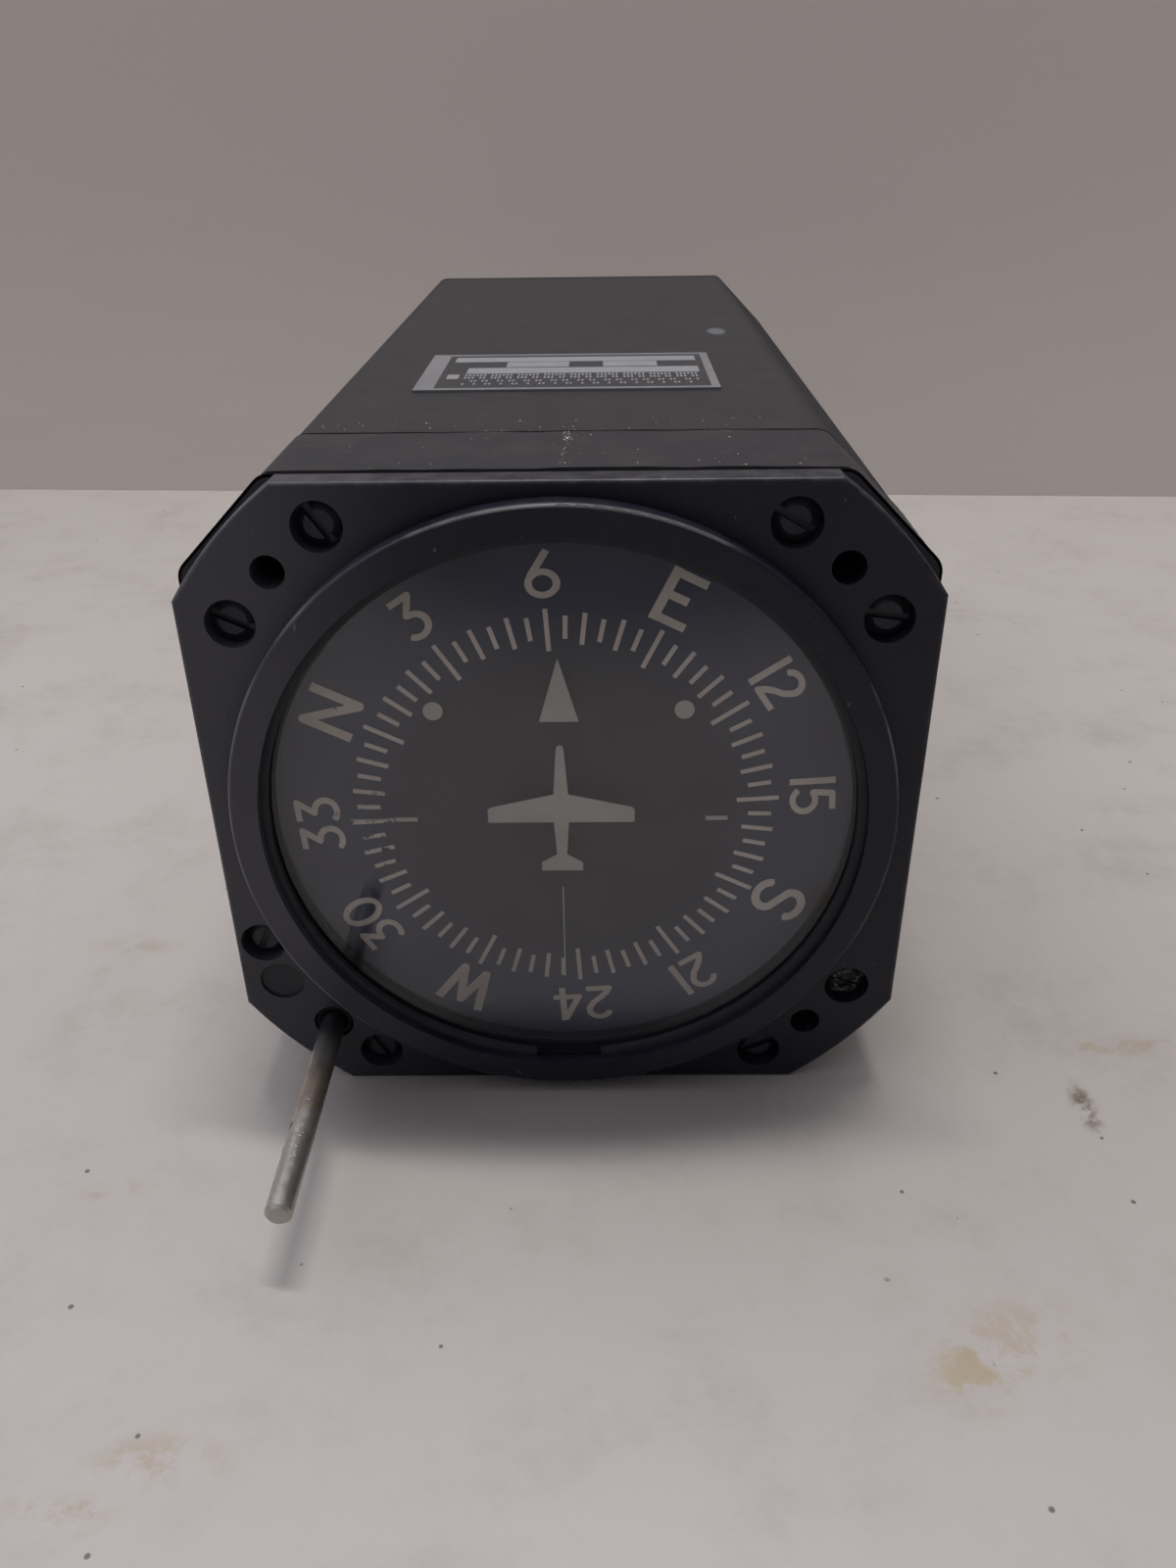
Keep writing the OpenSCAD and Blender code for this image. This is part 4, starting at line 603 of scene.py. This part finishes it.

# %% [markdown]
# ## Two solids that need a stand-in
#
# The aeroplane, the index and the dots are printed on the back of the glass. In the solids the print and the
# glass share one face, and a ray tracer can't tell which comes first there. A copy that stands a hair behind
# the glass shows the print clearly. The return spring gets shorter when the shaft is pushed, which a rigid
# solid can't do, so it is given a copy with a mesh of its own.

# %% A copy of a solid, as a piece of its own
def stand_in(node_name, name, material, body, back=0.0):
    """A copy of a node's mesh that takes the node's place. It may stand further back, in millimetres."""
    copied = bmesh.new()
    copied.from_mesh(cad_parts[node_name].data)
    for v in copied.verts:
        v.co.y += back * MM
    thing = object_from(name, copied, material)
    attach(thing, body)
    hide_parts(node_name)
    print(name, "has", len(thing.data.polygons), "faces")
    return thing


stand_in("index_marks", "glass_marks", glass_print, "case", 0.02)

# %% Return spring as a copy with its own mesh
spring = stand_in("return_spring", "spring_coil", bare_steel, "case")
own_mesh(spring)

# %% [markdown]
# ## Figures on the card
#
# The card reads in tens of degrees, with letters at the four quarters. A font would be quick, but these
# figures are engraved with a round cutter, so each is drawn as the path of that cutter. A path becomes a
# chain of bars with round joints, and a Delaunay triangulation merges what overlaps into one clean sheet.

# %% Cutter paths of the figures, in millimetres, standing on their foot
def arc(x, z, rx, rz, start, stop, steps=14):
    """Points on an ellipse, with angles in degrees anticlockwise from the right."""
    turn = [math.radians(start + (stop - start) * i / steps) for i in range(steps + 1)]
    return [(x + rx * math.cos(t), z + rz * math.sin(t)) for t in turn]


FIGURES = {
    "0": (3.2, [arc(0, 2.6, 1.28, 2.27, 90, 450, 32)]),
    "1": (0.7, [[(0, 0), (0, 5.2)]]),
    "2": (3.0, [arc(-0.02, 3.72, 1.15, 1.15, 165, -28, 16)
                + [(0.55, 2.42), (-0.25, 1.75), (-0.85, 1.05), (-1.2, 0.33), (1.35, 0.33)]]),
    "3": (2.9, [[(-1.15, 4.87), (1.05, 4.87), (-0.25, 2.98)] + arc(-0.15, 1.63, 1.3, 1.3, 88, -140, 20)]),
    "4": (3.2, [[(0.45, 5.2), (0.45, 0.0)], [(0.3, 4.95), (-1.35, 1.45), (1.5, 1.45)]]),
    "5": (2.9, [[(1.1, 4.87), (-0.75, 4.87), (-0.95, 2.75)] + arc(-0.08, 1.63, 1.3, 1.3, 128, -150, 22)]),
    "6": (3.2, [[(0.62, 5.15), (-1.02, 2.55)] + arc(0, 1.6, 1.32, 1.28, 138, 505, 30)]),
    "N": (4.6, [[(-1.8, 0), (-1.8, 5.75), (1.8, 0.55), (1.8, 6.3)]]),
    "E": (3.9, [[(-1.45, 0), (-1.45, 6.3)], [(1.75, 0.5), (-1.45, 0.5)], [(-1.45, 3.25), (0.85, 3.25)],
                [(-1.45, 5.8), (1.75, 5.8)]]),
    "S": (4.2, [arc(0.1, 4.55, 1.6, 1.45, 12, 215, 18) + arc(-0.1, 1.65, 1.6, 1.45, 35, -168, 18)]),
    "W": (5.9, [[(-2.35, 6.3), (-1.25, 0.5), (0, 5.5), (1.25, 0.5), (2.35, 6.3)]]),
}
print("figures", len(FIGURES))

# %% Bars and round joints along a path
BETWEEN_FIGURES = 0.45


def cutter_trace(path, width):
    """Outlines that together cover the path of a round cutter with square ends."""
    half = width / 2
    outlines = []
    for (x0, z0), (x1, z1) in zip(path, path[1:]):
        length = math.hypot(x1 - x0, z1 - z0)
        nx, nz = -(z1 - z0) / length * half, (x1 - x0) / length * half
        outlines.append([(x0 + nx, z0 + nz), (x0 - nx, z0 - nz), (x1 - nx, z1 - nz), (x1 + nx, z1 + nz)])
    for x, z in path[1:-1]:
        outlines.append([(x + half * math.cos(math.radians(t)), z + half * math.sin(math.radians(t)))
                         for t in range(0, 360, 30)])
    return outlines


def word_outlines(word, height, width):
    """Outlines of one or two figures side by side, centred on their middle."""
    letters = [FIGURES[c] for c in word]
    total = sum(advance for advance, _ in letters) + BETWEEN_FIGURES * (len(letters) - 1)
    outlines, x = [], -total / 2
    for advance, paths in letters:
        for path in paths:
            moved = [(px + x + advance / 2, pz - height / 2) for px, pz in path]
            outlines += cutter_trace(moved, width)
        x += advance + BETWEEN_FIGURES
    return outlines


def merged_sheet(outlines):
    """One triangulated sheet without overlaps."""
    points, faces = [], []
    for outline in outlines:
        area = sum(a[0] * b[1] - b[0] * a[1] for a, b in zip(outline, outline[1:] + outline[:1]))
        ordered = outline if area > 0 else outline[::-1]
        faces.append(list(range(len(points), len(points) + len(ordered))))
        points += [Vector(p) for p in ordered]
    flat = geometry.delaunay_2d_cdt(points, [], faces, 0, 1e-5)
    kept = [face for face, source in zip(flat[2], flat[5]) if source]
    return flat[0], kept


# %% Print all twelve figures on the card
def print_on_card(name, sheets, front, thickness, material):
    """A thin closed sheet from lists of points and faces, standing on the card's face."""
    mesh = bmesh.new()
    for points, faces in sheets:
        made = [mesh.verts.new((x, z, 0)) for x, z in points]
        for face in faces:
            mesh.faces.new([made[i] for i in face])
    bmesh.ops.remove_doubles(mesh, verts=mesh.verts, dist=1e-6)
    loose = [v for v in mesh.verts if not v.link_faces]
    bmesh.ops.delete(mesh, geom=loose, context="VERTS")
    bmesh.ops.dissolve_limit(mesh, angle_limit=0.01, verts=mesh.verts, edges=mesh.edges)
    base = mesh.faces[:]
    raised = bmesh.ops.extrude_face_region(mesh, geom=base)
    for v in [g for g in raised["geom"] if isinstance(g, bmesh.types.BMVert)]:
        v.co.z = 1
    for v in mesh.verts:
        x, z, back = v.co
        v.co = Vector((x, front + (0 if back > 0.5 else thickness), z)) * MM
    bmesh.ops.recalc_face_normals(mesh, faces=mesh.faces)
    return object_from(name, mesh, material)


CARD_HEADING = 63.56
MIDDLE_RADIUS, TALLER, WIDER = 30.2, 1.06, 1.2
LETTER_SIZE, FIGURE_SIZE = (6.3, 0.94), (5.2, 0.70)  # height and width of the stroke
PRINT = 0.06
card_low, card_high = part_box("card_disc")
words = {0: "N", 30: "3", 60: "6", 90: "E", 120: "12", 150: "15", 180: "S", 210: "21", 240: "24", 270: "W",
         300: "30", 330: "33"}
sheets = []
for heading, word in words.items():
    points, faces = merged_sheet(word_outlines(word, *(LETTER_SIZE if word.isalpha() else FIGURE_SIZE)))
    angle = math.radians(90 - heading + CARD_HEADING)
    out_x, out_z = math.cos(angle), math.sin(angle)
    placed = []
    for x, z in points:
        reach, aside = MIDDLE_RADIUS + TALLER * z, WIDER * x
        placed.append((out_x * reach + out_z * aside, out_z * reach - out_x * aside))
    sheets.append((placed, faces))
figures = print_on_card("card_figures", sheets, card_low[1] / MM - PRINT, PRINT, card_ink)
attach(figures, "compass_card")
print("figures: faces", len(figures.data.polygons), "card radius", round(card_high[0] / MM, 2))

# %% [markdown]
# ## Data plate
#
# The plate is seen from far away, so its layout is enough: a light border, a dark field, light strips and
# rows of small light marks. They are printed as thin rectangles on the plate.

# %% Strips on the plate
plate_low, plate_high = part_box("data_plate")
plate_x0, plate_y0, _ = (v / MM for v in plate_low)
plate_x1, plate_y1, plate_top = (v / MM for v in plate_high)
wide, deep = plate_x1 - plate_x0, plate_y1 - plate_y0
FIELD_RISE, STRIP_RISE = 0.012, 0.022


def printed_boxes(name, boxes, rise, material):
    """Thin boxes on the plate, from (x0, y0, x1, y1) in millimetres."""
    points, faces = [], []
    for x0, y0, x1, y1 in boxes:
        n = len(points)
        for z in (plate_top, plate_top + rise):
            points += [Vector(p) * MM for p in ((x0, y0, z), (x1, y0, z), (x1, y1, z), (x0, y1, z))]
        faces += [(n, n + 3, n + 2, n + 1), (n + 4, n + 5, n + 6, n + 7)]
        faces += [(n + i, n + (i + 1) % 4, n + 4 + (i + 1) % 4, n + 4 + i) for i in range(4)]
    thing = piece(name, points, faces, "case", material)
    print(name, "has", len(boxes), "boxes")


def plate_bar(x0, x1, row0, row1):
    """A bar from fractions of the plate's width, and of its depth counted from the rear edge."""
    return (plate_x0 + wide * x0, plate_y1 - deep * row1, plate_x0 + wide * x1, plate_y1 - deep * row0)


bars = [plate_bar(0.09, 0.95, 0.10, 0.24), plate_bar(0.28, 0.50, 0.25, 0.40), plate_bar(0.62, 0.81, 0.25, 0.40),
        plate_bar(0.15, 0.95, 0.42, 0.58), plate_bar(0.09, 0.13, 0.60, 0.72)]
for row, height, share in ((0.60, 0.045, 6), (0.67, 0.045, 5), (0.76, 0.035, 4), (0.84, 0.035, 3)):
    for i in range(62):
        x = 0.15 + i * 0.0128
        if (i * 5 + int(row * 100)) % 7 < share:  # leaves uneven gaps in the row
            bars.append(plate_bar(x, x + 0.0075, row, row + height))
printed_boxes("plate_field", [(plate_x0 + 2.8, plate_y0 + 1.2, plate_x1 - 1.2, plate_y1 - 1.2)], FIELD_RISE,
              plate_dark)
printed_boxes("plate_strips", bars, STRIP_RISE, plate_metal)

# %% [markdown]
# ## Sealing tape
#
# The tape was wound by hand, so its edges wander, it bulges over the corners, and its end lies as a small
# ridge on the top. A smooth solid cannot show this. The tape is drawn again as a grid that runs round the
# case, pushed out by noise, with the same place and width.

# %% Path round the case
TAPE_THICKNESS = 0.38
tape_low, tape_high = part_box("seam_tape")
half_w, half_h = tape_high[0] / MM - TAPE_THICKNESS, tape_high[2] / MM - TAPE_THICKNESS


def case_corner_path(half_w, half_h, slant, radius, straight_steps, corner_steps):
    """Points and outward directions round an octagon with rounded corners, from the top middle clockwise."""
    directions = [(45 * i, (half_h, slant, half_w, slant)[i % 4]) for i in range(8)]
    corners = []
    for (a, da), (b, db) in zip(directions, directions[1:] + directions[:1]):
        ra, rb = math.radians(a), math.radians(b)
        na, nb = (math.sin(ra), math.cos(ra)), (math.sin(rb), math.cos(rb))
        det = na[0] * nb[1] - na[1] * nb[0]
        ea, eb = da - radius, db - radius
        corners.append(((ea * nb[1] - eb * na[1]) / det, (eb * na[0] - ea * nb[0]) / det, a))
    loop = []
    for i, (cx, cz, a) in enumerate(corners):
        px, pz, _ = corners[i - 1]
        normal = (math.sin(math.radians(a)), math.cos(math.radians(a)))
        for s in range(straight_steps):
            t = s / straight_steps
            x, z = px + (cx - px) * t, pz + (cz - pz) * t
            loop.append(((x + normal[0] * radius, z + normal[1] * radius), normal))
        for s in range(corner_steps):
            turn = math.radians(a + 45 * s / corner_steps)
            out = (math.sin(turn), math.cos(turn))
            loop.append(((cx + out[0] * radius, cz + out[1] * radius), out))
    return loop


tape_loop = case_corner_path(half_w, half_h, slant=51.27, radius=2.2, straight_steps=26, corner_steps=5)
print("tape loop", len(tape_loop), "points")

# %% Tape skin
TAPE_Y0, TAPE_Y1 = tape_low[1] / MM, tape_high[1] / MM
ROWS = 26


def edge_noise(x, z):
    """Slow wander and quick jag of an edge at a place on the way round the case."""
    return noise.noise(Vector((x * 0.16, z * 0.16, 3.0))), noise.noise(Vector((x * 1.1, z * 1.1, 7.0)))


def rear_edge(wander, jag):
    return TAPE_Y1 - 0.25 + 0.16 * wander + 0.09 * jag


def tape_lift(x, z, y, u):
    """How far the outer face of the tape stands off the case."""
    soft = noise.noise(Vector((x * 0.11, y * 0.16, z * 0.11)))
    fine = noise.noise(Vector((x * 0.5, y * 0.7, z * 0.5 + 9)))
    lift = 0.21 + 0.10 * soft + 0.045 * fine
    if z > 39:
        lift += 0.07 * math.exp(-((x - 0.14 - 1.06 * u - 0.25 * math.sin(y * 0.9)) / 0.28) ** 2)
    return min(max(lift, 0.08), 0.37)


def tape_points(inner):
    """Grid of the tape's inner or outer face, row by row across the tape at each place of the path."""
    points = []
    for (x, z), (nx, nz) in tape_loop:
        wander, jag = edge_noise(x, z)
        y0, y1 = TAPE_Y0 + 0.12 + 0.12 * jag, rear_edge(wander, jag)
        for j in range(ROWS + 1):
            u = j / ROWS
            y = y0 + (y1 - y0) * u
            thinner = 0.55 + 0.45 * min(min(u, 1 - u) * 14, 1.0)
            off = 0.03 if inner else max(tape_lift(x, z, y, u) * thinner, 0.07)
            points.append(Vector((x + nx * off, y, z + nz * off)) * MM)
    return points


outer_points, inner_points = tape_points(False), tape_points(True)
count, shift = len(tape_loop), len(outer_points)
faces = []
for k in range(count):
    a, b = k * (ROWS + 1), (k + 1) % count * (ROWS + 1)
    for j in range(ROWS):
        faces.append((a + j, a + j + 1, b + j + 1, b + j))
        faces.append((shift + a + j, shift + b + j, shift + b + j + 1, shift + a + j + 1))
    faces.append((a, b, shift + b, shift + a))
    faces.append((a + ROWS, shift + a + ROWS, shift + b + ROWS, b + ROWS))
tape = piece("seam_tape_skin", outer_points + inner_points, faces, None, tape_vinyl, smooth=True)
bm = bmesh.new()
bm.from_mesh(tape.data)
bmesh.ops.recalc_face_normals(bm, faces=bm.faces)
bm.to_mesh(tape.data)
bm.free()
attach(tape, "case")
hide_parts("seam_tape")
print("tape faces", len(tape.data.polygons))

# %% Dark strips of painted shade along both edges of the tape
def shade_strip(name, rows_at, finish):
    """A thin strip round the case. rows_at gives the (y, height) pairs of its four-cornered cross-section."""
    points = []
    for (x, z), (nx, nz) in tape_loop:
        slanted = min(abs(nx), abs(nz)) > 0.3
        for y, off in rows_at(*edge_noise(x, z), slanted):
            points.append(Vector((x + nx * off, y, z + nz * off)) * MM)
    faces = []
    for k in range(count):
        a, b = 4 * k, 4 * ((k + 1) % count)
        faces += [(a + j, a + (j + 1) % 4, b + (j + 1) % 4, b + j) for j in range(4)]
    strip = piece(name, points, faces, "case", finish)


def rear_rows(wander, jag, slanted):
    edge = rear_edge(wander, jag)
    back = edge + 0.72 + 0.5 * jag
    return ((edge + 0.01, 0.02), (edge + 0.01, 0.16), (back, 0.05), (back, 0.02))


def front_rows(wander, jag, slanted):
    front, reach = TAPE_Y0 + 0.02, 1.40 + 0.8 * wander + 0.35 * jag
    back = front + (0.3 * reach if slanted else reach)
    return ((back, 0.02), (front, 0.02), (front, 0.37), (back, 0.375))


# Painted shade: the shadow line at the tape's rear edge and the dark gap at its front edge.
shade_strip("tape_rear_line", rear_rows, edge_shade)
shade_strip("tape_front_line", front_rows, edge_shade)
print("glue lines on", count, "places each")

# %% [markdown]
# ## Crumbs and lint
#
# Old tape catches dust. A few hundred crumbs lie along its seam, on it and at both its edges. They are real
# small pieces, because a bump map would vanish at the edges. A fixed seed keeps them in place at each run.

# %% Crumbs on the top
CRUMBS, AT_SEAM = 340, 60
CASE_TOP, TAPE_END = 40.8, 22.75
dice = random.Random(11)


def crumb(centre, size, flat):
    """Points and faces of an irregular crumb with five sides and a low peak."""
    turn = dice.uniform(0, math.tau)
    ring = [Vector((math.cos(turn + i * math.tau / 5) * size * dice.uniform(0.6, 1.1),
                    math.sin(turn + i * math.tau / 5) * size * dice.uniform(0.5, 1.0), 0)) for i in range(5)]
    points = [centre + p for p in ring] + [centre + Vector((size * 0.2, 0, size * flat))]
    faces = [(i, (i + 1) % 5, 5) for i in range(5)] + [(4, 3, 2, 1, 0)]
    return points, faces


points, faces = [], []
for i in range(CRUMBS):
    near_seam = i < AT_SEAM
    x = dice.gauss(0.9, 0.45) if near_seam else dice.uniform(-30, 30)
    y = dice.uniform(4.0, 22.2) if near_seam else dice.choice(
        [dice.uniform(3.9, 5.2), dice.uniform(5, 22), dice.uniform(5, 22), dice.uniform(22.9, 30)])
    size = dice.uniform(0.05, 0.11) if i % 6 else dice.uniform(0.10, 0.17)
    across = (y - TAPE_Y0) / (TAPE_Y1 - TAPE_Y0)
    lift = 0.0 if y > TAPE_END else tape_lift(x, CASE_TOP, y, across) - 0.02
    crumb_points, crumb_faces = crumb(Vector((x, y, CASE_TOP + lift)), size, 0.35)
    faces += [tuple(corner + len(points) for corner in face) for face in crumb_faces]
    points += [p * MM for p in crumb_points]
crumbs_top = piece("top_crumbs", points, faces, "case", crumb_finish)
print("crumbs", CRUMBS)

# %% [markdown]
# ## Table, wall and light
#
# The instrument lies on its lower edges on a pale table, with a pale wall close behind. The wall is shown
# from the front only, so that other views can look through it. The upper part of the glass mirrors a painted
# shadow on the table in front. It is painted for mirrored rays only, so the table itself does not show it. The
# table is also painted paler towards the wall, as light, and darker just in front of the flange, as shade. One
# long lamp hangs above and a little behind, which puts the instrument's own shadow in front of it. The
# rest of the light is the sky, brighter behind and to the left.

# %% Table: pale laminate with brown stains and specks, painted light towards the wall, painted shade at the flange's foot, and a painted shadow that only mirrors see
def stage_sheet(name, corners, material):
    sheet = piece(name, corners, [(0, 1, 2, 3)], None, material)
    print("stage", name)


def soft_spot(tree, place, x, y, half_x, half_y, low, high):
    """Mask of a soft ellipse on the table, in metres. Low and high are in units of its half sizes."""
    return ramp(tree, gap_from(tree, place, {"X": x, "Y": y}, (half_x, half_y)), low, high)


table_z = cad_box[0][2]
STAINS = [  # x, y, half sizes, strength, tint
    (0.0683, -0.0060, 0.0019, 0.0052, 0.85, (0.11, 0.065, 0.030)),
    (0.0437, -0.0445, 0.0062, 0.0055, 0.62, (0.36, 0.265, 0.12)),
    (0.0500, -0.0400, 0.0100, 0.0060, 0.45, (0.37, 0.28, 0.17)),
    (0.0790, 0.0055, 0.0200, 0.0022, 0.60, (0.38, 0.29, 0.18)),
    (-0.0397, -0.0540, 0.0080, 0.0035, 0.55, (0.36, 0.27, 0.16)),
    (-0.0476, -0.0590, 0.0070, 0.0026, 0.55, (0.36, 0.27, 0.16)),
    (-0.0560, -0.0200, 0.0050, 0.0024, 0.50, (0.36, 0.27, 0.17)),
    (-0.0820, -0.0150, 0.0060, 0.0030, 0.40, (0.36, 0.28, 0.19)),
    (-0.0700, 0.0300, 0.0090, 0.0025, 0.35, (0.36, 0.28, 0.19)),
    (0.0366, -0.0328, 0.0005, 0.0004, 0.90, (0.04, 0.035, 0.03))]
laminate, tree, shader = new_finish("table_laminate", (0.43, 0.392, 0.376), 0.5)
tone = patchy(tree, 9.0, (0.438, 0.394, 0.350), (0.452, 0.408, 0.362), 0.5)["Colour"]
place = axes(tree)
# Painted light: the table is paler towards the wall.
colour = mix_colour(tree, ramp(tree, place["Y"], -0.03, 0.10), tone, (0.530, 0.480, 0.430))
blotch = ramp(tree, noise_at(tree, 260.0, 6.0, 0.7), 0.44, 0.62)
for x, y, half_x, half_y, strength, tint in STAINS:
    spot = soft_spot(tree, place, x, y, half_x, half_y, 1.2, 0.3)
    colour = mix_colour(tree, times(tree, spot, blotch, strength), colour, tint)
film = ramp(tree, noise_at(tree, 45.0, 8.0, 0.75), 0.46, 0.74, 0.0, 0.35)
colour = mix_colour(tree, film, colour, (0.30, 0.25, 0.21))
cells = add_node(tree, "ShaderNodeTexVoronoi", Vector=object_place(tree), Scale=170.0)
cell_dice = add_node(tree, "ShaderNodeSeparateColor", i0=cells.outputs["Color"])
speck = times(tree, ramp(tree, cells.outputs["Distance"], 0.068, 0.038), ramp(tree, cell_dice.outputs[0], 0.62, 0.64))
colour = mix_colour(tree, times(tree, speck, 0.8), colour, (0.05, 0.04, 0.035))
# Painted shade on the table just in front of the flange's foot.
contact_shade = soft_spot(tree, place, 0.0, -0.004, 0.044, 0.0120, 1.10, 0.45)
colour = mix_colour(tree, times(tree, contact_shade, 0.58), colour, (0.10, 0.09, 0.085))
# Painted shadow on the table in front, which only mirrored rays see.
shade = soft_spot(tree, place, 0.006, -0.262, 0.084, 0.116, 1.30, 0.60)
mirrored = calc(tree, "SUBTRACT", 1.0, ray_kind(tree, "Is Camera Ray"))
colour = mix_colour(tree, times(tree, shade, mirrored, 0.78), colour, (0.02, 0.02, 0.022))
connect(tree, shader, Base_Color=colour)
stage_sheet("pale_table", [(-3, -3, table_z), (3, -3, table_z), (3, 3, table_z), (-3, 3, table_z)], laminate)
print("table at", round(table_z / MM, 2), "mm")

# %% Wall: a low painted board behind, with faint streaks along it and a little darker higher up
board, tree, shader = new_finish("wall_board", (0.52, 0.46, 0.44), 0.6)
long_way = add_node(tree, "ShaderNodeVectorMath", {"operation": "MULTIPLY"}, i0=object_place(tree),
                    i1=(0.12, 1.0, 1.0)).outputs[0]
streaks = ramp(tree, noise_at(tree, 95.0, 3.0, vector=long_way), 0.35, 0.65)
colour = mix_colour(tree, streaks, (0.693, 0.630, 0.574), (0.706, 0.643, 0.586))
colour = mix_colour(tree, ramp(tree, axes(tree)["Z"], -0.04, 0.10), colour, (0.640, 0.566, 0.517))
connect(tree, shader, Base_Color=colour)
from_behind = add_node(tree, "ShaderNodeNewGeometry").outputs["Backfacing"]
let_through(tree, shader, calc(tree, "MAXIMUM", from_behind, ray_kind(tree, "Is Shadow Ray")))
WALL_LEFT, WALL_RIGHT, WALL_TOP = (-1.5, 0.370), (1.5, 0.204), 0.38
stage_sheet("pale_wall", [(*WALL_LEFT, table_z), (*WALL_RIGHT, table_z), (*WALL_RIGHT, WALL_TOP),
                          (*WALL_LEFT, WALL_TOP)], board)

# %% Lamp and sky
lamp_data = bpy.data.lights.new("ceiling_lamp", "AREA")
lamp_data.shape = "RECTANGLE"
lamp_data.size, lamp_data.size_y = 0.42, 0.06
lamp_data.energy = 5.6
lamp = add_object("ceiling_lamp", lamp_data)
lamp.location = (0.03, 0.165, 1.15)
lamp.rotation_euler = (Vector((0, 0.05, 0)) - lamp.location).to_track_quat("-Z", "Y").to_euler()
world = bpy.data.worlds.new("room")
world.use_nodes = True
tree = world.node_tree
way = add_node(tree, "ShaderNodeSeparateXYZ", i0=add_node(tree, "ShaderNodeTexCoord").outputs["Generated"])
above = ramp(tree, way.outputs["Z"], 0.0, 0.6, 0.12, 0.90)
behind = ramp(tree, way.outputs["Y"], -0.6, 0.3, 0.38, 1.1)
leftward = ramp(tree, way.outputs["X"], 0.6, -0.9, 0.6, 2.0)
level = times(tree, above, behind, leftward)
sky = add_node(tree, "ShaderNodeCombineColor", i0=times(tree, level, 0.95), i1=times(tree, level, 0.97),
               i2=times(tree, level, 1.12))
connect(tree, tree.nodes["Background"], Color=sky.outputs[0])
bpy.context.scene.world = world
bpy.context.scene.view_settings.view_transform = "Standard"
print("lamp", lamp.name, "and sky", world.name)

# %% [markdown]
# ## End
#
# The dressed model must not outgrow the solids.

# %% End of the script
print("end of the script")
